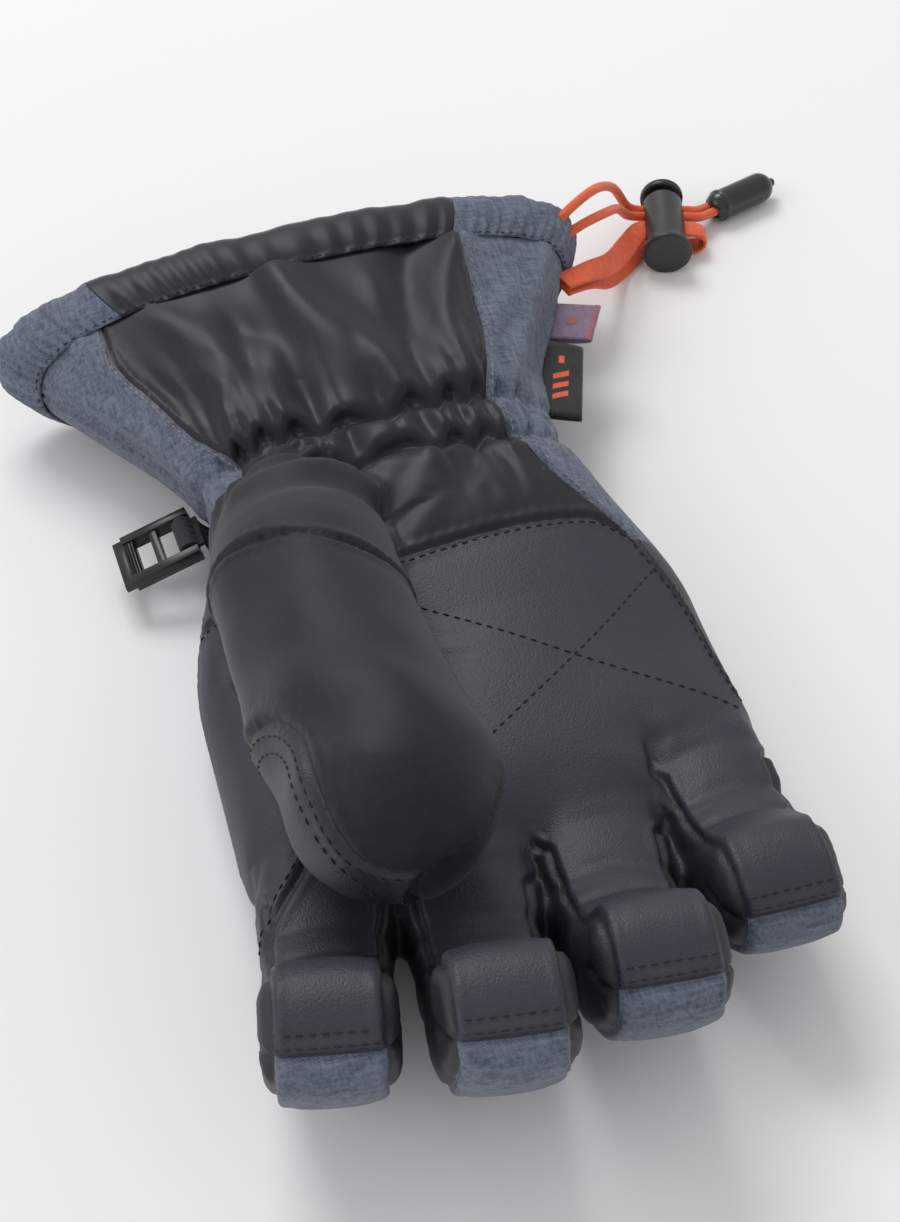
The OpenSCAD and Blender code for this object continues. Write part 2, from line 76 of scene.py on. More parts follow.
# the hand and gauntlet as one tube along Y, all in millimetres
tube = {
    "halfWidth": [(0, 61), (62, 46), (158, 88)],
    "top": [(-60, 31), (-20, 33), (62, 42), (138, 48)],
    "under": [(20, 0), (62, 5), (108, 0)],
    "corner": [(-60, 0.42), (0, 0.62), (138, 0.84)],
    "seamLittle": [(-60, 8), (-12, 26), (14, 37), (44, 53), (62, 55), (84, 51), (138, 61)],
    "seamThumb": [(-60, 184), (0, 182), (40, 166), (62, 137), (80, 148), (100, 146), (138, 130)],
    "flatDrop": 1.6,
    "bend": 4,
    "pivot": 40,
    "heel": 22,
    "wrist": 62,
    "hem": 122,
    "rim": 138,
}
fingers = {
    "index": {"at": (-45.6, -58), "splay": -11, "length": 70},
    "middle": {"at": (-15.2, -64), "splay": -8, "length": 75},
    "ring": {"at": (15.4, -60), "splay": -5, "length": 69},
    "little": {"at": (45.2, -48), "splay": 0, "length": 54},
}
stall = {"width": 29, "height": 28, "curl": radians(68), "curlRadius": 38, "curlStart": 8, "tip": 13,
    "hingeZ": 15.5, "rootLap": 14, "blendLap": 12}
thumb = {"root": np.array([-33.0, 6, 48]), "along": np.array([0.0346, -0.9897, 0.1392]), "length": 68,
    "radius": 22}
gusset = {"from": np.array([-24.0, 54, 21.5]), "fromRadius": 20.5, "to": np.array([-32.5, 10, 46.5]),
    "toRadius": 21.8}


def ease(u):
    return u * u * (3 - 2 * u)


def ramp(value, low, high):
    return ease(np.clip((value - low) / (high - low), 0, 1))


def smoothAt(y, table):
    out = np.full(np.shape(y), float(table[0][1]))
    for (y0, v0), (y1, v1) in zip(table, table[1:]):
        out = np.where(y >= y0, v0 + (v1 - v0) * ramp(y, y0, y1), out)
    return out


def signedPow(v, p):
    return np.sign(v) * np.abs(v) ** p


def bendTurn(y):
    return np.radians(tube["bend"]) * ramp(y, 20, 80)


def tubeSection(y):
    half = (smoothAt(y, tube["top"]) - smoothAt(y, tube["under"]) + tube["flatDrop"]) / 2
    return smoothAt(y, tube["halfWidth"]), half, smoothAt(y, tube["top"]) - half, smoothAt(y, tube["corner"])


# the dent that the thumb presses into the palm
dent = {"deep": 7.5, "at": (-33, -12), "spread": (22, 18)}


def palmHollow(x, y):
    (x0, y0), (dx, dy) = dent["at"], dent["spread"]
    return dent["deep"] * np.exp(-((x - x0) / dx) ** 2 - ((y - y0) / dy) ** 2)


# points of the tube at angle degrees about Y (0 little finger's side, 90 palm), at a depth under
# the skin
def tubePoint(y, angle, depth):
    y, angle, depth = np.broadcast_arrays(np.asarray(y, float), np.radians(angle), depth)
    width, half, middle, power = tubeSection(y)
    under = smoothAt(y, tube["under"])
    x = (width - depth) * signedPow(np.cos(angle), power)
    hollow = palmHollow(x, y) * (np.sin(angle) > 0)
    z = np.maximum(middle + (half - hollow - depth) * signedPow(np.sin(angle), power),
        under + np.maximum(depth, -under))
    turn = bendTurn(y)
    return np.stack([x * np.cos(turn) - (y - tube["pivot"]) * np.sin(turn),
        tube["pivot"] + x * np.sin(turn) + (y - tube["pivot"]) * np.cos(turn), z], -1)


# the tube's own y, angle in degrees, and x of points near its skin
def tubeCoordinates(points):
    y = points[:, 1].copy()
    for _ in range(4):
        turn = bendTurn(y)
        x = points[:, 0] * np.cos(turn) + (points[:, 1] - tube["pivot"]) * np.sin(turn)
        y = tube["pivot"] - points[:, 0] * np.sin(turn) + (points[:, 1] - tube["pivot"]) * np.cos(turn)
    width, half, middle, power = tubeSection(y)
    a = np.degrees(np.arctan2(signedPow((points[:, 2] - middle) / half, 1 / power),
        signedPow(x / width, 1 / power)))
    return y, np.where(a < -90, a + 360, a), x


# A finger's own distance from its hinge, side offset and height over its middle line
def fingerFrame(name, points):
    f = fingers[name]
    turn = radians(f["splay"])
    dx, dy = points[:, 0] - f["at"][0], points[:, 1] - f["at"][1]
    x = dx * cos(turn) + dy * sin(turn)
    y = -dx * sin(turn) + dy * cos(turn)
    z = points[:, 2] - stall["hingeZ"]
    start, radius, curl = stall["curlStart"], stall["curlRadius"], stall["curl"]
    angle = np.arctan2(-y - start, radius - z)
    inArc = (-y > start) & (angle < curl)
    past = (-y > start) & (angle >= curl)
    centre = np.array([-start, radius])
    along = (-(y - centre[0])) * cos(curl) + (z - centre[1]) * sin(curl)
    over = radius - (-(y - centre[0]) * sin(curl) - (z - centre[1]) * cos(curl))
    s = np.where(past, start + radius * curl + along, np.where(inArc, start + radius * angle, -y))
    h = np.where(past, over, np.where(inArc, radius - np.hypot(y - centre[0], z - centre[1]), z))
    return s, x, h


# the reverse of fingerFrame
def fingerPoint(name, s, x, h):
    f = fingers[name]
    start, radius, curl = stall["curlStart"], stall["curlRadius"], stall["curl"]
    a = curl * np.clip((s - start) / (radius * curl), 0, 1)
    rest = s - start - radius * a
    straight = s < start
    cy = np.where(straight, -s, -start - radius * np.sin(a) - rest * np.cos(a)) + h * np.sin(a)
    cz = np.where(straight, 0, radius * (1 - np.cos(a)) + rest * np.sin(a)) + h * np.cos(a)
    turn = radians(f["splay"])
    return np.stack([f["at"][0] + x * cos(turn) - cy * sin(turn), f["at"][1] + x * sin(turn) + cy * cos(turn),
                     stall["hingeZ"] + cz], -1)


# the y of the finger hinges at each x
def rootLine(x):
    spots = sorted((f["at"][0] + u * cos(radians(f["splay"])), f["at"][1] + u * sin(radians(f["splay"])))
                   for f in fingers.values() for u in (-14, 14))
    return np.interp(x, [p[0] for p in spots], [p[1] for p in spots])


# closed forms that are joined into one skin
# vertices and faces of a closed loft from rows of points, each row a ring
def gridMesh(rows, cap=True):
    count, around = rows.shape[:2]
    verts = rows.reshape(-1, 3)
    faces = []
    for i in range(count - 1):
        for j in range(around):
            k = (j + 1) % around
            faces.append((i * around + j, i * around + k, (i + 1) * around + k, (i + 1) * around + j))
    if cap:
        faces.append(tuple(range(around - 1, -1, -1)))
        faces.append(tuple((count - 1) * around + j for j in range(around)))
    return verts, faces


def handForm():
    angles = np.linspace(0, 360, 121)[:-1]
    rows = []
    for u in np.linspace(0, 1, 60):
        x = 61 * signedPow(np.cos(np.radians(angles)), 0.5)
        start = rootLine(x) + 3
        rows.append(tubePoint(start + (tube["rim"] - start) * u, angles, 0.5 + 5 * (1 - ramp(u, 0, 0.04))))
    return gridMesh(np.array(rows))


def fingerForm(name):
    length = fingers[name]["length"]
    angles = np.linspace(0, 2 * pi, 49)[:-1]
    rows = []
    for s in np.concatenate([np.linspace(-26, length - stall["tip"], 30),
        length - stall["tip"] * (1 - np.sin(np.linspace(0.1, 1, 12) * pi / 2))]):
        into = max((s - (length - stall["tip"])) / stall["tip"], 0)
        narrow = max(1 - into ** 2.6, 0.0) ** 0.42
        back = 1 - 0.10 * ramp(-s, 0, 26)
        side = 1 - 0.32 * (1 - narrow)
        w = (stall["width"] / 2 - 1.3 * ramp(s, 4, 20)) * side * max(back, 0.9)
        h = (stall["height"] / 2 - 0.3) * max(narrow, 0.12) * (1 - 0.12 * ramp(-s, 4, 26))
        rows.append(fingerPoint(name, s, w * signedPow(np.cos(angles), 0.5),
            h * signedPow(np.sin(angles), 0.5)))
    return gridMesh(np.array(rows))


def capsuleForm(a, b, ra, rb):
    along = (b - a) / np.linalg.norm(b - a)
    side = np.cross(along, [0, 0, 1.0])
    side /= np.linalg.norm(side)
    up = np.cross(side, along)
    angles = np.linspace(0, 2 * pi, 49)[:-1]
    rows = []
    for v in np.linspace(-1, 1, 45):
        if v < -0.4:
            t = (v + 1) / 0.6 * pi / 2
            centre, r = a - along * ra * np.cos(t), ra * np.sin(max(t, 0.06))
        elif v > 0.4:
            t = (v - 0.4) / 0.6 * pi / 2
            centre, r = b + along * rb * np.sin(t), rb * np.cos(min(t, pi / 2 - 0.06))
        else:
            u = (v + 0.4) / 0.8
            centre, r = a + (b - a) * u, ra + (rb - ra) * u
        rows.append(centre + r * (np.cos(angles)[:, None] * side + np.sin(angles)[:, None] * up))
    return gridMesh(np.array(rows))


# one skin: joined forms, remeshed and smoothed
skinPlan = {"voxel": 1.7, "quickVoxel": 2.2, "smooth": 5, "simScale": 0.01}


def meshObject(name, verts, faces, scale=1.0):
    mesh = bpy.data.meshes.new(name)
    mesh.from_pydata((np.asarray(verts) * scale).tolist(), [], [tuple(int(i) for i in f) for f in faces])
    mesh.update()
    obj = bpy.data.objects.new(name, mesh)
    scene.collection.objects.link(obj)
    return obj


def meshCo(obj):
    co = np.empty(len(obj.data.vertices) * 3)
    obj.data.vertices.foreach_get("co", co)
    return co.reshape(-1, 3)


def applyModifiers(obj):
    graph = bpy.context.evaluated_depsgraph_get()
    mesh = bpy.data.meshes.new_from_object(obj.evaluated_get(graph))
    obj.modifiers.clear()
    old = obj.data
    obj.data = mesh
    bpy.data.meshes.remove(old)


def joinForms(forms, voxel):
    verts, faces, offset = [], [], 0
    for v, f in forms:
        verts.append(v)
        faces += [tuple(i + offset for i in g) for g in f]
        offset += len(v)
    obj = meshObject("skin", np.concatenate(verts), faces, skinPlan["simScale"])
    remesh = obj.modifiers.new("remesh", "REMESH")
    remesh.mode = "VOXEL"
    remesh.voxel_size = voxel * skinPlan["simScale"]
    remesh.use_smooth_shade = True
    applyModifiers(obj)
    return obj


# pairs of joined vertices, as two arrays
def neighbourMatrix(obj):
    edges = np.empty(len(obj.data.edges) * 2, int)
    obj.data.edges.foreach_get("vertices", edges)
    return edges.reshape(-1, 2)


def relax(co, edges, rounds, weight=None, keepVolume=True):
    degree = np.bincount(edges.ravel(), minlength=len(co))[:, None]
    for r in range(rounds):
        for factor in ((0.6, -0.62) if keepVolume else (0.6,)):
            total = np.zeros_like(co)
            np.add.at(total, edges[:, 0], co[edges[:, 1]])
            np.add.at(total, edges[:, 1], co[edges[:, 0]])
            move = (total / degree - co) * factor
            co = co + (move if weight is None else move * weight[:, None])
    return co


# signed distance to a round cone between two points
def distanceTo(points, a, b, ra, rb):
    d = b - a
    t = np.clip(((points - a) @ d) / (d @ d), 0, 1)
    return np.linalg.norm(points - (a + t[:, None] * d), axis=1) - (ra + (rb - ra) * t)


thumbTip = thumb["root"] + thumb["along"] * thumb["length"]


# how near each point is to the thumb and the gusset. Lower is nearer
def regions(points):
    toThumb = distanceTo(points, thumb["root"], thumbTip, thumb["radius"], thumb["radius"])
    toGusset = distanceTo(points, gusset["from"], gusset["to"], gusset["fromRadius"], gusset["toRadius"])
    return toThumb, toGusset


skin = joinForms([handForm()] + [fingerForm(n) for n in fingers] +
                 [capsuleForm(thumb["root"], thumbTip, thumb["radius"], thumb["radius"]),
                  capsuleForm(gusset["from"], gusset["to"], gusset["fromRadius"], gusset["toRadius"])],
                 skinPlan["voxel"])
edges = neighbourMatrix(skin)
rest = relax(meshCo(skin) / skinPlan["simScale"], edges, 3)
print("skin:", len(rest), "points")


# where each point of the skin belongs, from its place before any folds
# positions on the glove that seams, folds and colours follow, in millimetres and degrees
class Fields:

    def __init__(self, points):
        self.points = points
        self.y, self.angle, self.x = tubeCoordinates(points)
        self.radius = smoothAt(self.y, [(0, 52), (62, 42), (138, 66)])
        self.around = np.radians(self.angle - 90) * self.radius
        names = list(fingers)
        s, x, h = (np.array(v) for v in zip(*(fingerFrame(n, points) for n in names)))
        self.finger = np.argmin(np.abs(x) + 3 * np.maximum(np.abs(h) - 22, 0), axis=0)
        pick = (self.finger, np.arange(len(points)))
        self.s, self.side, self.height = s[pick], x[pick], h[pick]
        self.allSide, self.allS = x, s
        self.length = np.array([fingers[n]["length"] for n in names])[self.finger]
        fromRoot = points - thumb["root"]
        self.thumbT = fromRoot @ thumb["along"]
        across = np.cross(thumb["along"], [0, 0, 1.0])
        across /= np.linalg.norm(across)
        self.thumbSide = fromRoot @ across
        self.thumbUp = fromRoot @ np.cross(across, thumb["along"])
        self.thumbAngle = np.degrees(np.arctan2(self.thumbUp, self.thumbSide))
        self.thumbSeam = self.thumbT + 0.48 * np.clip(self.thumbSide, -18, 18) - 6.5
        toThumb, toGusset = regions(points)
        self.toThumb, self.toGusset = toThumb, toGusset
        toFinger = np.maximum(np.maximum(np.abs(self.side) - 14.5, np.abs(self.height) - 14),
            self.s - self.length)
        self.toRest = np.where(self.s > -10, toFinger, self.handDistance(points))
        self.raised = np.minimum(toThumb, toGusset) - self.toRest   # below 0 on the thumb and its gusset
        isRaised = self.raised < 0
        isThumb = isRaised & (self.thumbSeam > 0)
        self.part = np.where(isThumb, 2, np.where(isRaised, 3, np.where(self.s > -stall["rootLap"], 1, 0)))

    def handDistance(self, points):
        width, half, middle, power = tubeSection(self.y)
        hollow = palmHollow(self.x, self.y)
        edge = np.minimum(np.abs(self.x) / width, 0.995)
        roof = middle + (half - hollow) * (1 - edge ** (2 / power)) ** (power / 2)
        return np.where(points[:, 2] < 24, -9, points[:, 2] - roof)


def normalsOf(obj):
    n = np.empty(len(obj.data.vertices) * 3)
    obj.data.vertices.foreach_get("normal", n)
    return n.reshape(-1, 3)


def setCo(obj, co):
    obj.data.vertices.foreach_set("co", np.asarray(co, float).ravel())
    obj.data.update()


# A smooth wandering value from -1 to 1 along u
def wave(u, seed):
    rng = np.random.default_rng(seed)
    return sum(np.sin(u * f + p) for f, p in zip(rng.uniform(0.5, 2.4, 4), rng.uniform(0, 6.3, 4))) / 2.6


def bump(v, width):
    return np.exp(-(v / width) ** 2)


gathers = {"rows": (52.5, 66.5), "pitch": 9.2, "height": 5.2, "from": 50, "to": 138}
# long folds of the gauntlet: start and end as (distance round from the palm's middle, y), height, width
cuffFolds = [((-38, 128), (-16, 72), 3.6, 5.5), ((-52, 108), (-24, 70), 2.4, 5),
    ((-20, 126), (-9, 72), -2.2, 5), ((6, 131), (-4, 72), 4.2, 4.6), ((-8, 112), (-14, 74), 1.8, 4),
    ((18, 112), (8, 70), -2.6, 5), ((16, 100), (14, 68), 2.6, 4.2), ((34, 120), (18, 74), 2.2, 7),
    ((30, 92), (24, 66), 2.6, 3.6), ((62, 120), (38, 70), 2.6, 6), ((78, 112), (52, 64), 3.2, 5),
    ((48, 100), (36, 60), -1.6, 4), ((-74, 120), (-40, 70), 3.0, 6), ((-92, 108), (-58, 62), 2.6, 5),
    ((-60, 96), (-44, 62), -1.8, 5)]
heelFolds = [((-4, 50), (10, 34), 2.6, 4.2), ((12, 50), (18, 34), 1.8, 3.4), ((2, 50), (2, 26), -2.0, 3.4),
             ((24, 50), (40, 36), 1.8, 4.5), ((-14, 52), (-10, 30), -2.4, 5)]


def alongFold(around, y, fold):
    (u0, y0), (u1, y1), height, width = fold
    length = np.hypot(u1 - u0, y1 - y0)
    t = ((around - u0) * (u1 - u0) + (y - y0) * (y1 - y0)) / length ** 2
    off = ((around - u0) * (y1 - y0) - (y - y0) * (u1 - u0)) / length
    off = off + 1.6 * np.sin(t * 5 + u0)
    taper = ramp(t, -0.25, 0.25) * ramp(-t, -1.25, -0.8)
    return height * taper * bump(off, width * (0.75 + 0.5 * np.clip(t, 0, 1)))


# how far the skin stands out or in at each point, by the folds that sewing and elastic give it
def foldHeights(f):
    onHand = (f.part == 0) | (f.part == 3)
    palmSide = ramp(f.angle, 36, 52) * ramp(-f.angle, -146, -132)
    low, high = gathers["rows"]
    phase = f.around / gathers["pitch"] + 0.16 * wave(f.around / 14, 3)
    lens = np.abs(np.cos(pi * phase)) ** 0.7
    between = np.abs(np.sin(pi * phase)) ** 0.7
    zigzag = 1.3 * np.cos(2 * pi * phase)
    inBand = ramp(f.y, low - 1, low + 4) * ramp(-f.y, -high - 1, -high + 4)
    strength = palmSide + 0.55 * (1 - palmSide) * ramp(-np.abs(f.angle - 90), -200, -80)
    height = gathers["height"] * (1 + 0.25 * wave(f.around / 10, 5))
    out = strength * height * 0.85 * (lens - 0.75) * inBand
    out += (strength * height * (between - 0.55) * ramp(f.y, high - 1, high + 3)
        * np.exp(-np.maximum(f.y - high, 0) / 13))
    out += (strength * height * 0.85 * (between - 0.55) * ramp(-f.y, -low - 1, -low + 3)
        * np.exp(-np.maximum(low - f.y, 0) / 8))
    for row, way in ((low, 1), (high, -1)):
        out -= strength * 3.6 * bump(f.y - row - way * zigzag, 2.0)
    out = out * onHand
    for fold in cuffFolds + heelFolds:
        out += (alongFold(f.around, f.y, fold) * onHand * ramp(-f.y, -131, -122) * ramp(f.angle, -70, -40)
            * ramp(-f.angle, -250, -215))
    # back of the gauntlet: soft waves
    back = ramp(-np.sin(np.radians(f.angle)), 0.1, 0.6) * onHand * ramp(-f.y, -130, -118) * ramp(f.y, 26, 48)
    out += back * 1.3 * wave(f.around / 9 + f.y / 60, 11) * ramp(-np.abs(f.y - 60), -50, -10)
    # fingers: creases across the palm's side where they curl
    onFinger = f.part == 1
    for at, deep in ((-1, 0.5), (14, 0.6), (28, 0.9)):
        out -= (onFinger * deep * bump(f.s - at - 0.0035 * f.side ** 2 - wave(f.side / 5, 20 + at), 2.0)
            * ramp(f.height, 2, 9))
    out += onFinger * 0.35 * wave(f.s / 3.2 + f.side / 9, 31) * ramp(np.abs(f.side), 8, 13) * ramp(f.s, 6, 14)
    # thumb: soft dents, and puckers at the tip
    onThumb = f.part == 2
    tip = ramp(f.thumbT, 66, 82)
    out += (onThumb * (1.3 * wave(f.thumbT / 9 + f.thumbSide / 15, 41)
        + 0.8 * wave(f.thumbAngle / 22 + f.thumbT / 25, 42)) * (1 - 0.6 * tip))
    return out


# distance to the nearest sewn line, for the valleys that sewing pulls into the skin
def seamDistance(f):
    far = np.full(len(f.y), 99.0)
    hand = (f.part == 0)
    degree = np.radians(1) * f.radius
    seams = [np.where(hand, np.abs(f.angle - smoothAt(f.y, tube["seamLittle"])) * degree, far),
        np.where(hand, np.abs(f.angle - smoothAt(f.y, tube["seamThumb"])) * degree, far),
        np.where(hand & (np.sin(np.radians(f.angle)) > 0) & (f.angle > smoothAt(f.y, tube["seamLittle"])),
        np.abs(f.y - heelLine(f)), far), np.where(hand & (f.y > 66),
        np.minimum(np.abs(f.angle), np.abs(f.angle - 180)) * degree, far),
        np.where((f.part == 2) | (f.part == 3), np.abs(f.thumbSeam), far),
        np.where((f.part == 0) | (f.part == 3), np.abs(f.raised) * 1.4, far)]
    box = fourchetteField(f)
    seams.append(np.where((f.part == 1) & (f.s > -4), np.abs(box), far))
    seams.append(np.where(onReinforcement(f), np.abs(reinforcementField(f)), far))
    seams.append(np.where((f.part == 1) & (f.height < 2) & (f.s > f.length - 16), np.abs(tipField(f)), far))
    seams.append(np.where(f.part == 2, np.abs(patchField(f)), far))
    seams.append(np.where((f.part == 2) & (f.thumbT > 8), np.abs(tipSeamField(f)), far))
    return np.min(seams, axis=0)


# above 0 on the leather's side of its border under the fingertip
def tipField(f):
    return f.height + 7 + 0.6 * (f.s - f.length)


reinforcement = {"from": (-40, -46), "to": (-62, -71), "bow": 1.2}


# distance from the slanted join of the index finger's reinforcement, which crosses the finger's
# root
def reinforcementField(f):
    x, y = f.points[:, 0], f.points[:, 1]
    (x0, y0), (x1, y1) = reinforcement["from"], reinforcement["to"]
    return (((x - x0) * (y1 - y0) - (y - y0) * (x1 - x0)) / np.hypot(x1 - x0, y1 - y0)
        + reinforcement["bow"] * np.sin((x0 - x) / (x1 - x0) * pi))


def onReinforcement(f):
    return (f.part < 2) & (f.points[:, 0] < -38) & (f.points[:, 0] > -63) & (f.points[:, 2] > 14)


def heelLine(f):
    return tube["heel"] + 1.5 * np.sin((f.x - 4) / 16) - 9 * ramp(f.x, 40, 56) - 3 * ramp(-f.x, 0, 30)


# above 0 on the side walls between a finger's palm side and back
def fourchetteField(f):
    corner = np.abs(f.side) - 14.5 * np.abs(f.height) / 14
    wide = np.abs(f.side) - 10.4 - 0.8 * ramp(f.s, 20, 50) - 7 * ramp(-f.s, -7, 4)
    return np.minimum(corner * 0.7, wide)


# above 0 on the leather patch on the thumb's inner side
def patchField(f):
    angle = np.where(f.thumbAngle > 150, f.thumbAngle - 360, f.thumbAngle)
    return (1 - np.hypot((f.thumbT - 66) / 26, (angle + 34) / 78)) * 20


def tipSeamField(f):
    angle = np.where(f.thumbAngle < 0, f.thumbAngle + 360, f.thumbAngle)
    around = np.minimum(np.abs(angle - 170), 90) * 0.38
    return np.where(f.thumbT < 70, around, np.minimum(around, 99))


f = Fields(rest)
print("parts:", [int((f.part == i).sum()) for i in range(4)])

skinPlan.update({"frames": 20, "pressure": 3.0, "grow": 0.03, "cap": 3.2})


# cloth with its seams held: air pressure puffs the panels between them
def simulate(obj, start, f):
    held = np.clip(1.15 - seamDistance(f) / 3.2, 0, 1)
    held = np.maximum(held, ramp(f.y, 122, 128) * (f.part == 0))
    low, high = gathers["rows"]
    band = ((f.part == 0) | (f.part == 3)) * np.maximum(bump(f.y - low, 2.2), bump(f.y - high, 2.2)) * 0.9
    held = np.maximum(held, band)
    held = np.maximum(held, 0.35 * (f.part == 0) * ramp(f.y, 66, 70) * ramp(-f.y, -128, -120))
    held = np.maximum(held, ramp(-f.points[:, 2], -3, -0.8) * 0.9)   # where it lies on the ground
    group = obj.vertex_groups.new(name="held")
    for level in range(1, 21):
        picks = np.nonzero(np.round(held * 20).astype(int) == level)[0]
        if len(picks):
            group.add(picks.tolist(), level / 20, "REPLACE")
    loose = obj.vertex_groups.new(name="loose")
    loose.add(np.nonzero((f.part == 0) & (f.y > heelLine(f)))[0].tolist(), 1.0, "REPLACE")
    setCo(obj, start * skinPlan["simScale"])
    cloth = obj.modifiers.new("cloth", "CLOTH")
    c = cloth.settings
    c.quality = 4
    c.mass = 0.25
    c.tension_stiffness = c.compression_stiffness = 12
    c.shear_stiffness = 6
    c.bending_stiffness = 0.4
    c.use_pressure = True
    c.uniform_pressure_force = skinPlan["pressure"]
    c.vertex_group_mass = "held"
    c.pin_stiffness = 1.2
    c.vertex_group_shrink = "loose"
    c.shrink_min = 0.0
    c.shrink_max = -skinPlan["grow"]
    c.effector_weights.gravity = 0
    cloth.collision_settings.use_collision = False
    cloth.collision_settings.use_self_collision = False
    cloth.point_cache.frame_start, cloth.point_cache.frame_end = 1, skinPlan["frames"]
    for k in range(1, skinPlan["frames"] + 1):
        scene.frame_set(k)
    graph = bpy.context.evaluated_depsgraph_get()
    mesh = obj.evaluated_get(graph).to_mesh()
    co = np.empty(len(mesh.vertices) * 3)
    mesh.vertices.foreach_get("co", co)
    obj.evaluated_get(graph).to_mesh_clear()
    obj.modifiers.clear()
    scene.frame_set(1)
    move = co.reshape(-1, 3) / skinPlan["simScale"] - start
    size = np.linalg.norm(move, axis=1)
    print("cloth moved the skin by up to %.1f mm, %.2f mm on average" % (size.max(), size.mean()))
    return start + move * np.minimum(1, skinPlan["cap"] / np.maximum(size, 1e-6))[:, None]


setCo(skin, rest)
start = rest + normalsOf(skin) * foldHeights(f)[:, None]
start = simulate(skin, start, f)
shaped = relax(start, edges, 1)


# one subdivision of the skin, with each point's place before the folds carried along
def subdivided(obj, co, restCo):
    setCo(obj, co)
    attribute = obj.data.attributes.new("rest", "FLOAT_VECTOR", "POINT")
    attribute.data.foreach_set("vector", restCo.astype(np.float32).ravel())
    subdivision = obj.modifiers.new("subdivision", "SUBSURF")
    subdivision.levels = subdivision.render_levels = 1
    applyModifiers(obj)
    out = np.empty(len(obj.data.vertices) * 3)
    obj.data.attributes["rest"].data.foreach_get("vector", out)
    return meshCo(obj), out.reshape(-1, 3)


def seamValley(f):
    d = seamDistance(f)
    tight = np.where(f.part == 0, np.where(f.y > 66, 0.75, 0.85), 1.0)
    return tight * (0.40 * bump(d - 2.0, 1.1) - 1.0 * bump(d, 0.8))


# small creases, too fine for the cloth: leather crazing near seams and nylon ripples
def fineFolds(f):
    d = seamDistance(f)
    near = np.exp(-d / 3.5)
    leather = ((f.part == 1) | ((f.part == 0) & (f.y < heelLine(f))))
    ripples = (np.sin(f.points[:, 0] * 1.9 + 2.2 * np.sin(f.points[:, 1] * 0.7))
        * np.sin(f.points[:, 1] * 1.7 + 1.7 * np.sin(f.points[:, 2] * 0.9)))
    return np.where(leather, 0.10, 0.20) * near * ripples + tightGathers(f)


# the sharp pleats that the elastic draws in, along both rows of stitches at the wrist
def tightGathers(f):
    onHand = (f.part == 0) | (f.part == 3)
    low, high = gathers["rows"]
    phase = f.around / gathers["pitch"] + 0.16 * wave(f.around / 14, 3)
    zigzag = 1.6 * np.cos(2 * pi * phase)
    valley = np.exp(-(np.abs(np.sin(pi * (phase + 0.5))) / 0.22) ** 2)
    peak = np.exp(-(np.abs(np.sin(pi * phase)) / 0.25) ** 2)
    above = ramp(f.y, high - 2, high + 1) * np.exp(-np.maximum(f.y - high, 0) / 9)
    below = ramp(-f.y, -low - 2, -low + 1) * np.exp(-np.maximum(low - f.y, 0) / 6)
    inBand = ramp(f.y, low, low + 3) * ramp(-f.y, -high, -high + 3)
    out = -1.3 * valley * (above + below) - 0.9 * peak * inBand
    out -= 1.1 * (bump(f.y - low - zigzag, 1.0) + bump(f.y - high + zigzag, 1.0))
    return out * onHand * (0.45 + 0.55 * ramp(f.angle, 20, 50) * ramp(-f.angle, -160, -135))


skinCo, skinRest = subdivided(skin, shaped, rest)
f = Fields(skinRest)
skinCo = skinCo + normalsOf(skin) * (seamValley(f) + fineFolds(f))[:, None]
setCo(skin, skinCo)
skinNormals = normalsOf(skin).copy()
skinPolys = [list(p.vertices) for p in skin.data.polygons]
print("skin shaped:", len(skinCo), "points")


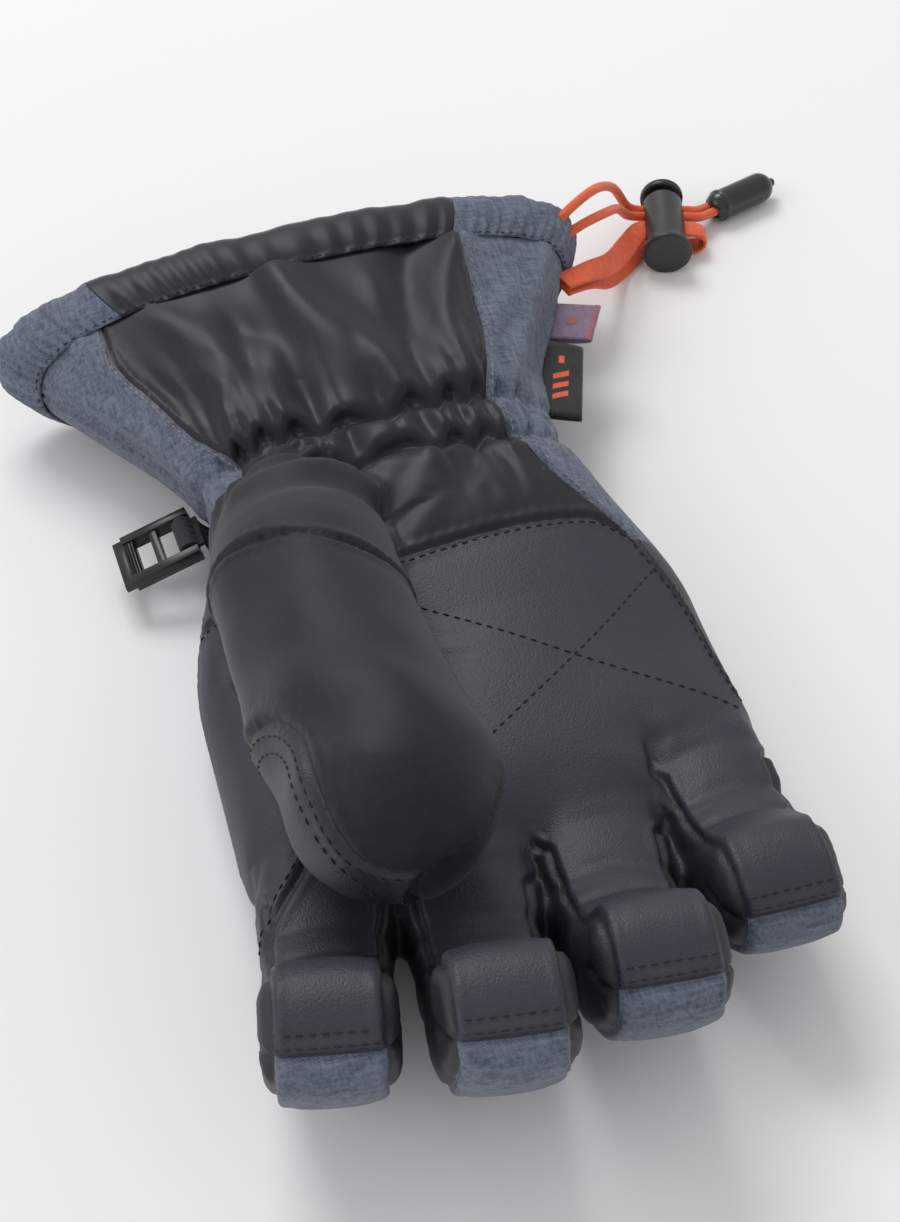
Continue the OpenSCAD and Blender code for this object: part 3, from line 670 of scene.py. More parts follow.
# cutting the skin into its sewn panels
# splits the polygons of the skin along the line where value passes 0, where use is true at all
# their points
def cutSkin(co, restCo, normals, polys, value, use):
    value = value.copy()
    corners = [(p, [value[i] for i in p]) for p in polys]
    crossed = [k for k, (p, v) in enumerate(corners) if min(v) < 0 < max(v) and all(use[i] for i in p)]
    moved = {}
    for k in crossed:
        p = polys[k]
        for a, b in zip(p, p[1:] + p[:1]):
            va, vb = value[a], value[b]
            if va * vb < 0:
                t = va / (va - vb)
                for i, j, u in ((a, b, t), (b, a, 1 - t)):
                    if u < 0.15 and i not in moved:
                        moved[i] = (j, u)
    extra, added = [], {}
    base = len(co)
    for i, (j, u) in moved.items():
        co[i] += (co[j] - co[i]) * u
        restCo[i] += (restCo[j] - restCo[i]) * u
        value[i] = 0
    for k in crossed:
        p = polys[k]
        for a, b in zip(p, p[1:] + p[:1]):
            key = (a, b) if a < b else (b, a)
            if value[a] * value[b] < 0 and key not in added:
                t = value[key[0]] / (value[key[0]] - value[key[1]])
                added[key] = base + len(extra)
                extra.append((key, t))
    if extra:
        first = np.array([e[0][0] for e in extra])
        second = np.array([e[0][1] for e in extra])
        t = np.array([e[1] for e in extra])[:, None]
        co = np.concatenate([co, co[first] + (co[second] - co[first]) * t])
        restCo = np.concatenate([restCo, restCo[first] + (restCo[second] - restCo[first]) * t])
        n = normals[first] + (normals[second] - normals[first]) * t
        normals = np.concatenate([normals, n / np.linalg.norm(n, axis=1)[:, None]])
        value = np.concatenate([value, np.zeros(len(extra))])
    out = []
    inCrossed = set(crossed)
    touched = set(i for key in added for i in key)
    for k, p in enumerate(polys):
        if k not in inCrossed and not (touched and any(i in touched for i in p)):
            out.append(p)
            continue
        loop = []
        for a, b in zip(p, p[1:] + p[:1]):
            loop.append(a)
            new = added.get((a, b) if a < b else (b, a))
            if new is not None:
                loop.append(new)
        on = [n for n, i in enumerate(loop) if value[i] == 0]
        if k in inCrossed and len(on) == 2 and on[1] - on[0] > 1 and not (on[0] == 0
            and on[1] == len(loop) - 1):
            out.append(loop[on[0]:on[1] + 1])
            out.append(loop[on[1]:] + loop[:on[0] + 1])
        else:
            out.append(loop)
    return co, restCo, normals, out


# each line that parts two panels, with the points it counts for
def seamCuts(f):
    hand = f.part == 0
    finger = f.part == 1
    thumbs = f.part == 2
    little, inner = f.angle - smoothAt(f.y, tube["seamLittle"]), f.angle - smoothAt(f.y, tube["seamThumb"])
    root = (f.part < 2) & (f.s < 6)
    yield "little seam", little, (hand | root) & (np.abs(little) < 30)
    yield "thumb seam", inner, (hand | root) & (np.abs(inner) < 30)
    yield "heel", f.y - heelLine(f), hand & (np.sin(np.radians(f.angle)) > 0)
    yield "wrist", f.y - tube["wrist"], hand
    yield "side", f.angle, hand & (f.y > 50) & (np.abs(f.angle) < 30)
    yield "far side", f.angle - 180, hand & (f.y > 50) & (np.abs(f.angle - 180) < 30)
    yield "hem", f.y - tube["hem"], hand
    strip = np.minimum(f.angle + 20, 16 - f.y)
    yield "side strip", strip, (hand | root) & (np.abs(f.angle) < 60) & (f.y < 30)
    yield "fingers", f.s + stall["rootLap"], (f.part < 2)
    for k in range(3):
        gap = np.abs(f.allSide[k]) - np.abs(f.allSide[k + 1])
        yield "gap %d" % k, gap, (f.part < 2) & (np.abs(gap) < 6) & (np.maximum(f.allS[k],
            f.allS[k + 1]) > -16) & (f.toRest > -40)
    yield "fourchette", fourchetteField(f), finger & (f.s > -6)
    yield "tip", tipField(f), finger & (f.s > f.length - 16) & (f.height < 4)
    yield "web", f.height, finger & (f.s < f.length - 16) & (np.abs(f.side) > 6)
    yield "thumb", f.raised, (np.abs(f.raised) < 8)
    yield "thumb base", f.thumbSeam, f.raised < 3
    yield "patch", patchField(f), thumbs


# the panel each point belongs to
def panelNames(f):
    little, inner = smoothAt(f.y, tube["seamLittle"]), smoothAt(f.y, tube["seamThumb"])
    palm = (f.angle > little) & (f.angle < inner)
    strip = (f.angle > -20) & (f.angle < little) & (f.y < 16)
    name = np.full(len(f.y), "back_of_hand_panel", dtype=object)
    name[(f.y > tube["wrist"])] = "gauntlet_back_panel"
    name[(f.y > tube["wrist"]) & (f.angle > 0) & (f.angle < little)] = "gauntlet_side_little"
    name[(f.y > tube["wrist"]) & (f.angle < 180) & (f.angle > inner)] = "gauntlet_side_thumb"
    name[strip] = "palm_side_strip"
    name[palm] = "palm_leather"
    name[palm & (f.y > heelLine(f))] = "palm_heel_panel"
    name[palm & (f.y > tube["wrist"])] = "gauntlet_palm_panel"
    name[(f.part == 0) & (f.y > tube["hem"])] = "past_hem"
    names = np.array(list(fingers), dtype=object)[f.finger]
    kind = np.where(fourchetteField(f) > 0, "_fourchettes",
        np.where((f.height > 0) | ((f.s > f.length - 16) & (tipField(f) > 0)), "_leather",
        "_back")).astype(object)
    rootZone = f.s < 6
    atRoot = np.where(strip, "_fourchettes", np.where(palm, "_leather", "_back")).astype(object)
    inner = (np.abs(f.x) < 56)
    kind = np.where(rootZone & ~inner & (kind != "_fourchettes"), atRoot, kind)
    isFinger = f.part == 1
    name[isFinger] = (names + kind)[isFinger]
    name[f.part == 3] = "thumb_base_gusset"
    name[f.part == 2] = np.where(patchField(f) > 0, "thumb_leather", "thumb_back")[f.part == 2]
    return name


co, restCo, normals, polys = skinCo.copy(), skinRest.copy(), skinNormals, skinPolys
for step in range(99):
    cuts = list(seamCuts(f))
    if step >= len(cuts):
        break
    label, value, use = cuts[step]
    co, restCo, normals, polys = cutSkin(co, restCo, normals, polys, value, use)
    f = Fields(restCo)
print("panels cut:", len(polys), "faces")
centres = np.array([restCo[p].mean(axis=0) for p in polys])
polyNames = panelNames(Fields(centres))


# materials
def nodeGroup(name, inputs, outputs):
    group = bpy.data.node_groups.new(name, "ShaderNodeTree")
    for label, kind, value in inputs:
        socket = group.interface.new_socket(name=label, in_out="INPUT", socket_type="NodeSocket" + kind)
        if value is not None:
            socket.default_value = value
    for label, kind in outputs:
        group.interface.new_socket(name=label, in_out="OUTPUT", socket_type="NodeSocket" + kind)
    return group, group.nodes.new("NodeGroupInput"), group.nodes.new("NodeGroupOutput")


# A node with its settings and inputs: an input is a value or another node's output
def add(tree, kind, settings=None, **inputs):
    node = tree.nodes.new("ShaderNode" + kind)
    for key, value in (settings or {}).items():
        setattr(node, key, value)
    for key, value in inputs.items():
        socket = (node.inputs[int(key[1:])] if key[0] == "i" and key[1:].isdigit()
            else node.inputs[key.replace("_", " ")])
        if isinstance(value, bpy.types.NodeSocket):
            tree.links.new(value, socket)
        else:
            socket.default_value = value
    return node


def math(tree, operation, a, b=0.0):
    return add(tree, "Math", {"operation": operation}, i0=a, i1=b).outputs[0]


def mixColour(tree, factor, a, b, way="MIX"):
    node = tree.nodes.new("ShaderNodeMix")
    node.data_type = "RGBA"
    node.blend_type = way
    for socket, value in ((node.inputs[0], factor), (node.inputs[6], a), (node.inputs[7], b)):
        if isinstance(value, bpy.types.NodeSocket):
            tree.links.new(value, socket)
        else:
            socket.default_value = value
    return node.outputs[2]


def noise(tree, vector, scale, detail=3.0, roughness=0.5):
    return add(tree, "TexNoise", None, Vector=vector, Scale=scale, Detail=detail,
        Roughness=roughness).outputs["Fac"]


def stretched(tree, vector, x, y, z):
    return add(tree, "Mapping", None, Vector=vector, Scale=(x, y, z)).outputs[0]


# pebbled grain: rounded cells with fine creases between them
def buildLeatherGroup():
    g, i, o = nodeGroup("leatherGrain", [("Vector", "Vector", None), ("Cells", "Float", 900.0),
        ("Wear", "Float", 0.3)], [("Height", "Float"), ("Tone", "Float"), ("Shine", "Float")])
    warp = add(g, "TexNoise", None, Vector=i.outputs[0], Scale=260.0, Detail=2.0)
    moved = add(g, "VectorMath", {"operation": "MULTIPLY_ADD"}, i0=warp.outputs["Color"],
        i1=(0.0009, 0.0009, 0.0009), i2=i.outputs[0])
    cells = add(g, "TexVoronoi", {"feature": "F1"}, Vector=moved.outputs[0], Scale=i.outputs[1])
    dome = math(g, "SUBTRACT", 1.0, math(g, "POWER", cells.outputs["Distance"], 1.6))
    fine = noise(g, i.outputs[0], 2600.0, 2.0)
    broad = noise(g, i.outputs[0], 90.0, 4.0, 0.6)
    g.links.new(math(g, "ADD", dome, math(g, "MULTIPLY", fine, 0.22)), o.inputs[0])
    worn = math(g, "MULTIPLY", broad, i.outputs[2])
    g.links.new(math(g, "ADD", math(g, "MULTIPLY", dome, 0.5), worn), o.inputs[1])
    g.links.new(math(g, "ADD", math(g, "MULTIPLY", broad, 0.5), math(g, "MULTIPLY", dome, 0.3)), o.inputs[2])
    return g


# twill: threads both ways, slanting ribs, and slubs of mixed tones
def buildWeaveGroup():
    g, i, o = nodeGroup("weave", [("Vector", "Vector", None), ("Threads", "Float", 1500.0),
        ("Slant", "Float", 1.0), ("Slub", "Float", 1.0)],
        [("Height", "Float"), ("Thread", "Float"), ("Slub tone", "Float")])
    parts = add(g, "SeparateXYZ", None, Vector=i.outputs[0])
    wobble = math(g, "MULTIPLY", noise(g, i.outputs[0], 180.0, 2.0), 1.3)
    depth = math(g, "MULTIPLY", parts.outputs[2], i.outputs[1])
    across = math(g, "ADD", math(g, "MULTIPLY", parts.outputs[0], i.outputs[1]),
        math(g, "MULTIPLY", depth, 0.8))
    along = math(g, "ADD", math(g, "MULTIPLY", parts.outputs[1], i.outputs[1]),
        math(g, "MULTIPLY", depth, 0.5))
    ribs = math(g, "SINE", math(g, "ADD", math(g, "ADD", across, math(g, "MULTIPLY", along, i.outputs[2])),
        wobble))
    weft = math(g, "SINE", math(g, "MULTIPLY", along, 2.3))
    warpSlub = noise(g, stretched(g, i.outputs[0], 1.0, 0.10, 0.6), 1500.0, 2.0)
    weftSlub = noise(g, stretched(g, i.outputs[0], 0.10, 1.0, 0.6), 1500.0, 2.0)
    cloud = noise(g, i.outputs[0], 240.0, 4.0, 0.65)
    slub = math(g, "ADD", math(g, "MULTIPLY", math(g, "ADD", warpSlub, weftSlub), 0.42),
        math(g, "MULTIPLY", cloud, 0.26))
    g.links.new(math(g, "ADD", math(g, "MULTIPLY", ribs, 0.5), math(g, "MULTIPLY", weft, 0.25)), o.inputs[0])
    g.links.new(math(g, "ADD", math(g, "MULTIPLY", ribs, 0.25), 0.5), o.inputs[1])
    g.links.new(math(g, "MULTIPLY", slub, i.outputs[3]), o.inputs[2])
    return g


# uneven handling marks and dust, as a mask, and a fine surface grain
def buildMottleGroup():
    g, i, o = nodeGroup("mottle", [("Vector", "Vector", None), ("Scale", "Float", 60.0)],
        [("Mask", "Float"), ("Grain", "Float")])
    g.links.new(math(g, "POWER", noise(g, i.outputs[0], i.outputs[1], 5.0, 0.62), 1.5), o.inputs[0])
    g.links.new(noise(g, i.outputs[0], 3000.0, 2.0), o.inputs[1])
    return g


groups = {"leather": buildLeatherGroup(), "weave": buildWeaveGroup(), "mottle": buildMottleGroup()}


def startMaterial(name, **values):
    material = bpy.data.materials.new(name)
    material.use_nodes = True
    tree = material.node_tree
    shader = tree.nodes["Principled BSDF"]
    for key, value in values.items():
        shader.inputs[key.replace("_", " ")].default_value = value
    vector = tree.nodes.new("ShaderNodeTexCoord").outputs["Object"]
    return material, tree, shader, vector


def placed(tree, group, vector, **values):
    node = tree.nodes.new("ShaderNodeGroup")
    node.node_tree = groups[group]
    tree.links.new(vector, node.inputs["Vector"])
    for key, value in values.items():
        node.inputs[key].default_value = value
    return node.outputs


def finishMaterial(tree, shader, colour, roughness, height, strength, distance):
    tree.links.new(colour, shader.inputs["Base Color"])
    if roughness is not None:
        tree.links.new(roughness, shader.inputs["Roughness"])
    node = add(tree, "Bump", None, Height=height, Strength=strength, Distance=distance)
    tree.links.new(node.outputs[0], shader.inputs["Normal"])


def leatherMaterial(name, dark, light, cells=900.0):
    m, t, s, v = startMaterial(name, Specular_IOR_Level=0.42)
    grain = placed(t, "leather", v, Cells=cells)
    mottle = placed(t, "mottle", v)
    tone = mixColour(t, grain["Tone"], dark, light)
    tone = mixColour(t, math(t, "MULTIPLY", mottle["Mask"], 0.35), tone,
        (light[0] * 1.25, light[1] * 1.25, light[2] * 1.25, 1))
    rough = math(t, "ADD", math(t, "MULTIPLY", grain["Shine"], 0.22), 0.38)
    finishMaterial(t, s, tone, rough, grain["Height"], 0.4, 0.00016)
    return m


def weaveMaterial(name, dark, mid, light, threads=3400.0, slant=1.0, roughness=0.72, sheen=0.25,
    strength=0.5, contrast=1.0, show=0.55):
    m, t, s, v = startMaterial(name, Sheen_Weight=sheen, Sheen_Roughness=0.45, Specular_IOR_Level=0.3)
    weave = placed(t, "weave", v, Threads=threads, Slant=slant)
    mottle = placed(t, "mottle", v)
    slub = add(t, "MapRange", None, Value=weave["Slub tone"], From_Min=0.55 - 0.18 / contrast,
        From_Max=0.55 + 0.18 / contrast)
    tone = mixColour(t, slub.outputs[0], dark, mid)
    tone = mixColour(t, math(t, "MULTIPLY", weave["Thread"], math(t, "MULTIPLY", slub.outputs[0], show)),
        tone, light)
    tone = mixColour(t, math(t, "MULTIPLY", mottle["Mask"], 0.2), tone, light)
    rough = math(t, "ADD", math(t, "MULTIPLY", mottle["Mask"], 0.15), roughness - 0.08)
    finishMaterial(t, s, tone, rough, weave["Height"], strength, 0.00018)
    return m


def plasticMaterial(name, dark, light, roughness, coat=0.0):
    m, t, s, v = startMaterial(name, Coat_Roughness=0.12, Specular_IOR_Level=0.5)
    s.inputs["Coat Weight"].default_value = coat
    mottle = placed(t, "mottle", v, Scale=180.0)
    tone = mixColour(t, mottle["Mask"], dark, light)
    rough = math(t, "ADD", math(t, "MULTIPLY", mottle["Mask"], 0.2), roughness - 0.06)
    finishMaterial(t, s, tone, rough, mottle["Grain"], 0.12, 0.0001)
    return m


def metalMaterial(name):
    m, t, s, v = startMaterial(name, Metallic=1.0)
    mottle = placed(t, "mottle", v, Scale=400.0)
    tone = mixColour(t, mottle["Mask"], (0.35, 0.35, 0.37, 1), (0.55, 0.55, 0.57, 1))
    finishMaterial(t, s, tone, math(t, "ADD", math(t, "MULTIPLY", mottle["Mask"], 0.3), 0.18),
        mottle["Grain"], 0.1, 0.0001)
    return m


materials = {"leather": leatherMaterial("pebbledLeather", (0.018, 0.0185, 0.028, 1),
    (0.036, 0.037, 0.055, 1), 2100.0), "trim": leatherMaterial("smoothLeather", (0.014, 0.014, 0.018, 1),
    (0.028, 0.028, 0.035, 1), 2400.0), "nylon": weaveMaterial("blackNylon", (0.0078, 0.007, 0.0115, 1),
    (0.0135, 0.0122, 0.020, 1), (0.026, 0.0235, 0.036, 1), 16000.0, 0.0, 0.47, 0.1, 0.05, 1.0, 0.15),
    "softshell": weaveMaterial("blackSoftshell", (0.0066, 0.006, 0.0098, 1), (0.0118, 0.0108, 0.0168, 1),
    (0.022, 0.0205, 0.030, 1), 13000.0, 0.4, 0.58, 0.1, 0.05, 1.0, 0.2),
    "melange": weaveMaterial("melangeTwill", (0.046, 0.059, 0.085, 1), (0.106, 0.132, 0.188, 1),
    (0.25, 0.28, 0.35, 1), 7500.0, 1.0, 0.75, 0.12, 0.6, 1.3, 0.75),
    "fleece": weaveMaterial("fleece", (0.012, 0.013, 0.015, 1), (0.02, 0.021, 0.024, 1),
    (0.035, 0.036, 0.04, 1), 9000.0, 0.2, 0.9, 0.4, 0.5, 1.0, 0.2),
    "webbing": weaveMaterial("blackWebbing", (0.008, 0.008, 0.009, 1), (0.02, 0.02, 0.022, 1),
    (0.045, 0.045, 0.05, 1), 5200.0, 0.6, 0.65, 0.15, 0.9),
    "orange": weaveMaterial("orangeBraid", (0.62, 0.075, 0.02, 1), (0.86, 0.125, 0.04, 1),
    (0.95, 0.23, 0.11, 1), 7000.0, 1.0, 0.6, 0.2, 0.6),
    "purple": weaveMaterial("labelSatin", (0.13, 0.085, 0.14, 1), (0.20, 0.135, 0.21, 1),
    (0.30, 0.21, 0.30, 1), 6000.0, 0.0, 0.55, 0.3, 0.3),
    "labelEdge": weaveMaterial("labelEdge", (0.22, 0.05, 0.06, 1), (0.33, 0.09, 0.10, 1),
    (0.42, 0.16, 0.17, 1), 6000.0, 0.0, 0.55, 0.3, 0.3),
    "tagCloth": weaveMaterial("tagCloth", (0.009, 0.009, 0.010, 1), (0.018, 0.018, 0.02, 1),
    (0.035, 0.035, 0.038, 1), 6000.0, 0.0, 0.6, 0.2, 0.4),
    "thread": weaveMaterial("blackThread", (0.006, 0.006, 0.007, 1), (0.012, 0.012, 0.014, 1),
    (0.03, 0.03, 0.033, 1), 9000.0, 1.0, 0.6, 0.1, 0.5),
    "paleThread": weaveMaterial("paleThread", (0.20, 0.15, 0.15, 1), (0.33, 0.26, 0.25, 1),
    (0.45, 0.38, 0.37, 1), 9000.0, 1.0, 0.6, 0.1, 0.5),
    "buckle": plasticMaterial("bucklePlastic", (0.006, 0.006, 0.007, 1), (0.014, 0.014, 0.016, 1), 0.34),
    "satin": plasticMaterial("satinPlastic", (0.008, 0.008, 0.009, 1), (0.016, 0.016, 0.018, 1), 0.30,
    0.3), "grey": plasticMaterial("greyPlastic", (0.022, 0.022, 0.025, 1), (0.038, 0.038, 0.042, 1), 0.4),
    "steel": metalMaterial("springSteel"),}


# putting pieces in place
fingerNames = list(fingers)


# rides on the hand; a piece for a finger or the thumb only has its placement baked into its mesh
def attach(obj, body):
    if body in fingers:
        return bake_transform(obj)
    if body == "thumb":
        across = np.cross(thumb["along"], [0, 0, 1.0])
        # square to the slanted seam at the thumb's base
        ahead = thumb["along"] + 0.48 * across / np.linalg.norm(across)
        ahead /= np.linalg.norm(ahead)
        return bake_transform(obj)
    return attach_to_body(obj, body)


def dress(obj, material, smooth=True):
    obj.data.materials.clear()
    obj.data.materials.append(materials[material])
    if smooth and obj.type == "MESH":
        obj.data.polygons.foreach_set("use_smooth", [True] * len(obj.data.polygons))
    return obj


# A sewn panel: its outer faces, an inner side at its thickness, and the edges between them
def thickPanel(name, faces, thickness):
    used = np.unique(np.concatenate([np.asarray(p) for p in faces]))
    index = {int(i): k for k, i in enumerate(used)}
    outer = [[index[i] for i in p] for p in faces]
    n = normals[used]
    count = len(used)
    verts = np.concatenate([co[used], co[used] - n * thickness])
    borders = {}
    for p in outer:
        for a, b in zip(p, p[1:] + p[:1]):
            borders[(a, b)] = (b, a) not in borders
            if (b, a) in borders:
                borders[(a, b)] = borders[(b, a)] = False
    walls = [[b, a, a + count, b + count] for (a, b), open_ in borders.items() if open_]
    inner = [[i + count for i in reversed(p)] for p in outer]
    obj = meshObject(name, verts, outer + inner + walls, mm)
    flatN = n.tolist()
    flipped = (-n).tolist()
    loops = [flatN[i] for p in outer for i in p] + [flipped[i - count] for p in inner for i in p]
    loops += [(0.0, 0.0, 0.0)] * (4 * len(walls))
    obj.data.polygons.foreach_set("use_smooth", [True] * len(obj.data.polygons))
    obj.data.normals_split_custom_set(loops)
    return obj


def camel(name):
    first, *others = name.split("_")
    return first + "".join(w.capitalize() for w in others)


panelLooks = {"palm_leather": ("leather", "leather"), "palm_side_strip": ("trim", "leather"),
    "palm_heel_panel": ("nylon", "nylon"), "gauntlet_palm_panel": ("nylon", "nylon"),
    "thumb_base_gusset": ("softshell", "nylon"), "thumb_back": ("softshell", "nylon"),
    "thumb_leather": ("trim", "leather")}
panelFaces = {}
for p, n in zip(polys, polyNames):
    panelFaces.setdefault(n, []).append(p)
panelFaces.pop("past_hem", None)
panels = {}
for name, faces in panelFaces.items():
    owner = (name.split("_")[0] if name.split("_")[0] in fingers
        else ("thumb" if name in ("thumb_back", "thumb_leather") else "hand"))
    if name in panelLooks:
        look, slotName = panelLooks[name]
    elif name.endswith("_leather"):
        look, slotName = "leather", "leather"
    elif name.endswith("_fourchettes"):
        look, slotName = "trim", "nylon"
    else:
        look, slotName = "melange", "melange"
    piece = dress(thickPanel(camel(name), faces, 1.0), look)
    if name != "palm_side_strip":
        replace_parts(piece, name)
    panels[name] = attach(piece, owner)
print("panels:", sorted(panels))


# stitches
skinFields = Fields(skinRest)


# the lines on the skin where value passes 0: their points and the skin's normals there
def seamPaths(value, use, shortest=8):
    links, spots = {}, {}
    sign = value > 0
    usable = np.asarray(use, bool)
    array = np.array([p if len(p) == 4 else p + p[:1] for p in skinPolys])
    flags = sign[array]
    candidates = np.nonzero((flags.any(axis=1) & ~flags.all(axis=1)) & usable[array].all(axis=1))[0]
    for k in candidates:
        p = skinPolys[k]
        keys = []
        for a, b in zip(p, p[1:] + p[:1]):
            if sign[a] != sign[b]:
                key = (a, b) if a < b else (b, a)
                keys.append(key)
                if key not in spots:
                    t = value[key[0]] / (value[key[0]] - value[key[1]])
                    spots[key] = (skinCo[key[0]] * (1 - t) + skinCo[key[1]] * t,
                        skinNormals[key[0]] * (1 - t) + skinNormals[key[1]] * t)
        if len(keys) == 2:
            links.setdefault(keys[0], []).append(keys[1])
            links.setdefault(keys[1], []).append(keys[0])
    paths, seen = [], set()
    for first in sorted(links, key=lambda q: (len(links[q]), q)):
        if first in seen:
            continue
        path, at = [first], first
        seen.add(first)
        while True:
            onward = [q for q in links[at] if q not in seen]
            if not onward:
                break
            at = onward[0]
            seen.add(at)
            path.append(at)
        points = np.array([spots[q][0] for q in path])
        if len(path) > 2 and np.linalg.norm(np.diff(points, axis=0), axis=1).sum() > shortest:
            paths.append((points, np.array([spots[q][1] for q in path])))
    return paths


def resampled(points, n, pitch):
    distance = np.concatenate([[0], np.cumsum(np.linalg.norm(np.diff(points, axis=0), axis=1))])
    at = np.arange(0, distance[-1], pitch)
    out = np.stack([np.interp(at, distance, points[:, i]) for i in range(3)], -1)
    nn = np.stack([np.interp(at, distance, n[:, i]) for i in range(3)], -1)
    return out, nn / np.linalg.norm(nn, axis=1)[:, None]


thread = {"pitch": 2.7, "length": 1.9, "radius": 0.2, "rise": 0.24}


# rows of thread, each stitch a short bowed strand that dips into the cloth at both ends
def stitchObject(name, paths, material, body, size=1.0):
    verts, faces = [], []
    profile = [(-0.5, 0.25), (-0.36, 0.8), (0, 1.0), (0.36, 0.8), (0.5, 0.25)]
    for points, n in paths:
        if len(points) > 9:
            kernel = np.ones(5) / 5
            for axis in range(3):
                points[2:-2, axis] = np.convolve(points[:, axis], kernel, "valid")
        fine, fineN = resampled(points, n, thread["pitch"] * size / 2)
        for k in range(1, len(fine) - 1, 2):
            along = fine[k + 1] - fine[k - 1]
            along /= max(np.linalg.norm(along), 1e-9)
            up = fineN[k] - along * (fineN[k] @ along)
            up /= max(np.linalg.norm(up), 1e-9)
            across = np.cross(along, up)
            base = len(verts)
            for u, thick in profile:
                centre = (fine[k] + along * u * thread["length"] * size
                    + up * (thread["rise"] * (1 - (2 * u) ** 2) * 1.3 - 0.1))
                for j in range(6):
                    a = j * pi / 3
                    verts.append(centre + (across * np.cos(a) + up * np.sin(a)) * thread["radius"] * thick
                        * size)
            for r in range(4):
                for j in range(6):
                    faces.append((base + r * 6 + j, base + r * 6 + (j + 1) % 6,
                        base + r * 6 + 6 + (j + 1) % 6, base + r * 6 + 6 + j))
            faces.append(tuple(base + j for j in range(5, -1, -1)))
            faces.append(tuple(base + 24 + j for j in range(6)))
    obj = meshObject(name, verts, faces, mm)
    return attach(dress(obj, material), body)


quilting = {"lines": (((-12, 9), (60, -38)), ((52, 8), (-2, -34))), "bow": 2.5}


def addStitches():
    f = skinFields
    hand, finger = f.part == 0, f.part == 1
    up = np.sin(np.radians(f.angle)) > 0
    little, inner = smoothAt(f.y, tube["seamLittle"]), smoothAt(f.y, tube["seamThumb"])
    degree = np.radians(1) * f.radius
    palm = (f.part < 2) & (f.angle > little) & (f.angle < inner) & up
    line = lambda a, b: ((f.points[:, 0] - a[0]) * (b[1] - a[1])
        - (f.points[:, 1] - a[1]) * (b[0] - a[0])) / np.hypot(b[0] - a[0], b[1] - a[1])
    bow = quilting["bow"] * np.sin((f.points[:, 0] + 5) / 66 * pi)
    onPalm = palm & (f.y < heelLine(f) - 3) & (f.y > -52) & (f.points[:, 2] > 20)
    first, second = quilting["lines"]
    quilt = (seamPaths(line(*first) - bow, onPalm & (f.x < 58) & (f.s < -6))
        + seamPaths(line(*second) + bow, onPalm & (f.s < -8)))
    stitchObject("palmQuilting", quilt, "thread", "hand")
    stitchObject("heelStitching", seamPaths(f.y - heelLine(f) + 2.0, palm & hand & (f.points[:, 2] > 24)),
        "thread", "hand")
    stitchObject("welt", seamPaths((f.angle - little) * degree - 2.4, hand & (f.y < 20) & up), "thread",
        "hand")
    for sign, label in ((1, "little"), (-1, "thumb")):
        seam = (f.angle - little) * degree if sign == 1 else (inner - f.angle) * degree
        paths = seamPaths(seam + 1.7, hand & (f.y > 30) & (f.y < tube["hem"]) & (np.abs(seam) < 8))
        stitchObject("sideTopstitch" + label.capitalize(), paths, "paleThread", "hand", 0.8)
    patch = seamPaths(patchField(f) - 1.8, f.part == 2) + seamPaths(patchField(f) - 4.4, f.part == 2)
    stitchObject("thumbPatchStitching", patch, "thread", "thumb")
    stitchObject("reinforcementStitching", seamPaths(reinforcementField(f) - 2.2,
        onReinforcement(f) & (f.points[:, 2] > 18)), "thread", "index")
    for k, name in enumerate(fingerNames):
        own = finger & (f.finger == k) & (f.s > f.length - 15)
        wide = np.abs(f.side) < 11.5
        paths = [q for offset in (1.8, 4.6) for q in seamPaths(tipField(f) - offset,
            own & wide & (f.height < 8))]
        stitchObject(name + "TipStitching", paths, "thread", name, 0.9)


addStitches()
print("stitches sewn")


# hem, lining and inner bags
hem = {"profile": [(121.4, -0.35), (122.6, -0.1), (124.2, -0.8), (126.5, -1.5), (129.5, -1.9),
    (132.6, -1.9), (135.2, -1.5), (137.2, -0.5), (138.3, 0.9), (138.6, 2.6), (137.9, 4.5), (136.2, 5.9),
    (133, 6.7), (129, 6.6), (122, 6.2), (122, 5.4), (129, 5.3), (133, 5.2), (135.6, 4.4), (136.6, 2.6),
    (135.8, 1.0), (133.8, -0.1), (128.8, 0.4), (122.4, 0.7)], "crimps": 84, "crimpDepth": 0.5,
    "joins": (60.5, 128.5)}


def addHem(name, low, high, material):
    angles = np.arange(low, high + 0.01, 0.5)
    rows = []
    for a in angles:
        turn = np.radians(a)
        crimp = np.cos(turn * hem["crimps"] + 1.6 * np.sin(turn * 7) + np.sin(turn * 13))
        soft = 0.5 * np.sin(turn * 17 + 2) + 0.4 * np.sin(turn * 29)
        y = np.array([p[0] for p in hem["profile"]])
        depth = np.array([p[1] for p in hem["profile"]])
        outer = np.array([1.0 if k < 10 else 0.35 for k in range(len(y))]) * (y > 122)
        near = np.exp(-np.abs(y - 123.5) / 3.0)
        depth = depth - outer * (hem["crimpDepth"] * crimp * (0.25 + near) + 0.4 * soft)
        rows.append(tubePoint(y + 0.35 * soft * outer, a, depth))
    verts, faces = gridMesh(np.array(rows))
    obj = dress(meshObject(name, verts, [tuple(reversed(p)) for p in faces], mm), material)
    return attach(obj, "hand")


low, high = hem["joins"]
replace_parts(addHem("hemCasingPalm", low, high, "nylon"), "hem_casing_palm")
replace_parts(addHem("hemCasingBack", high, low + 360, "melange"), "hem_casing_back")
angles = np.arange(0, 360, 0.5)
hemLine = tubePoint(122.8, angles, -0.15)
hemNormal = tubePoint(122.8, angles, -1.15) - hemLine
hemPath = (np.concatenate([hemLine, hemLine[:3]]), np.concatenate([hemNormal, hemNormal[:3]]))
stitchObject("hemStitching", [hemPath], "thread", "hand", 0.85)


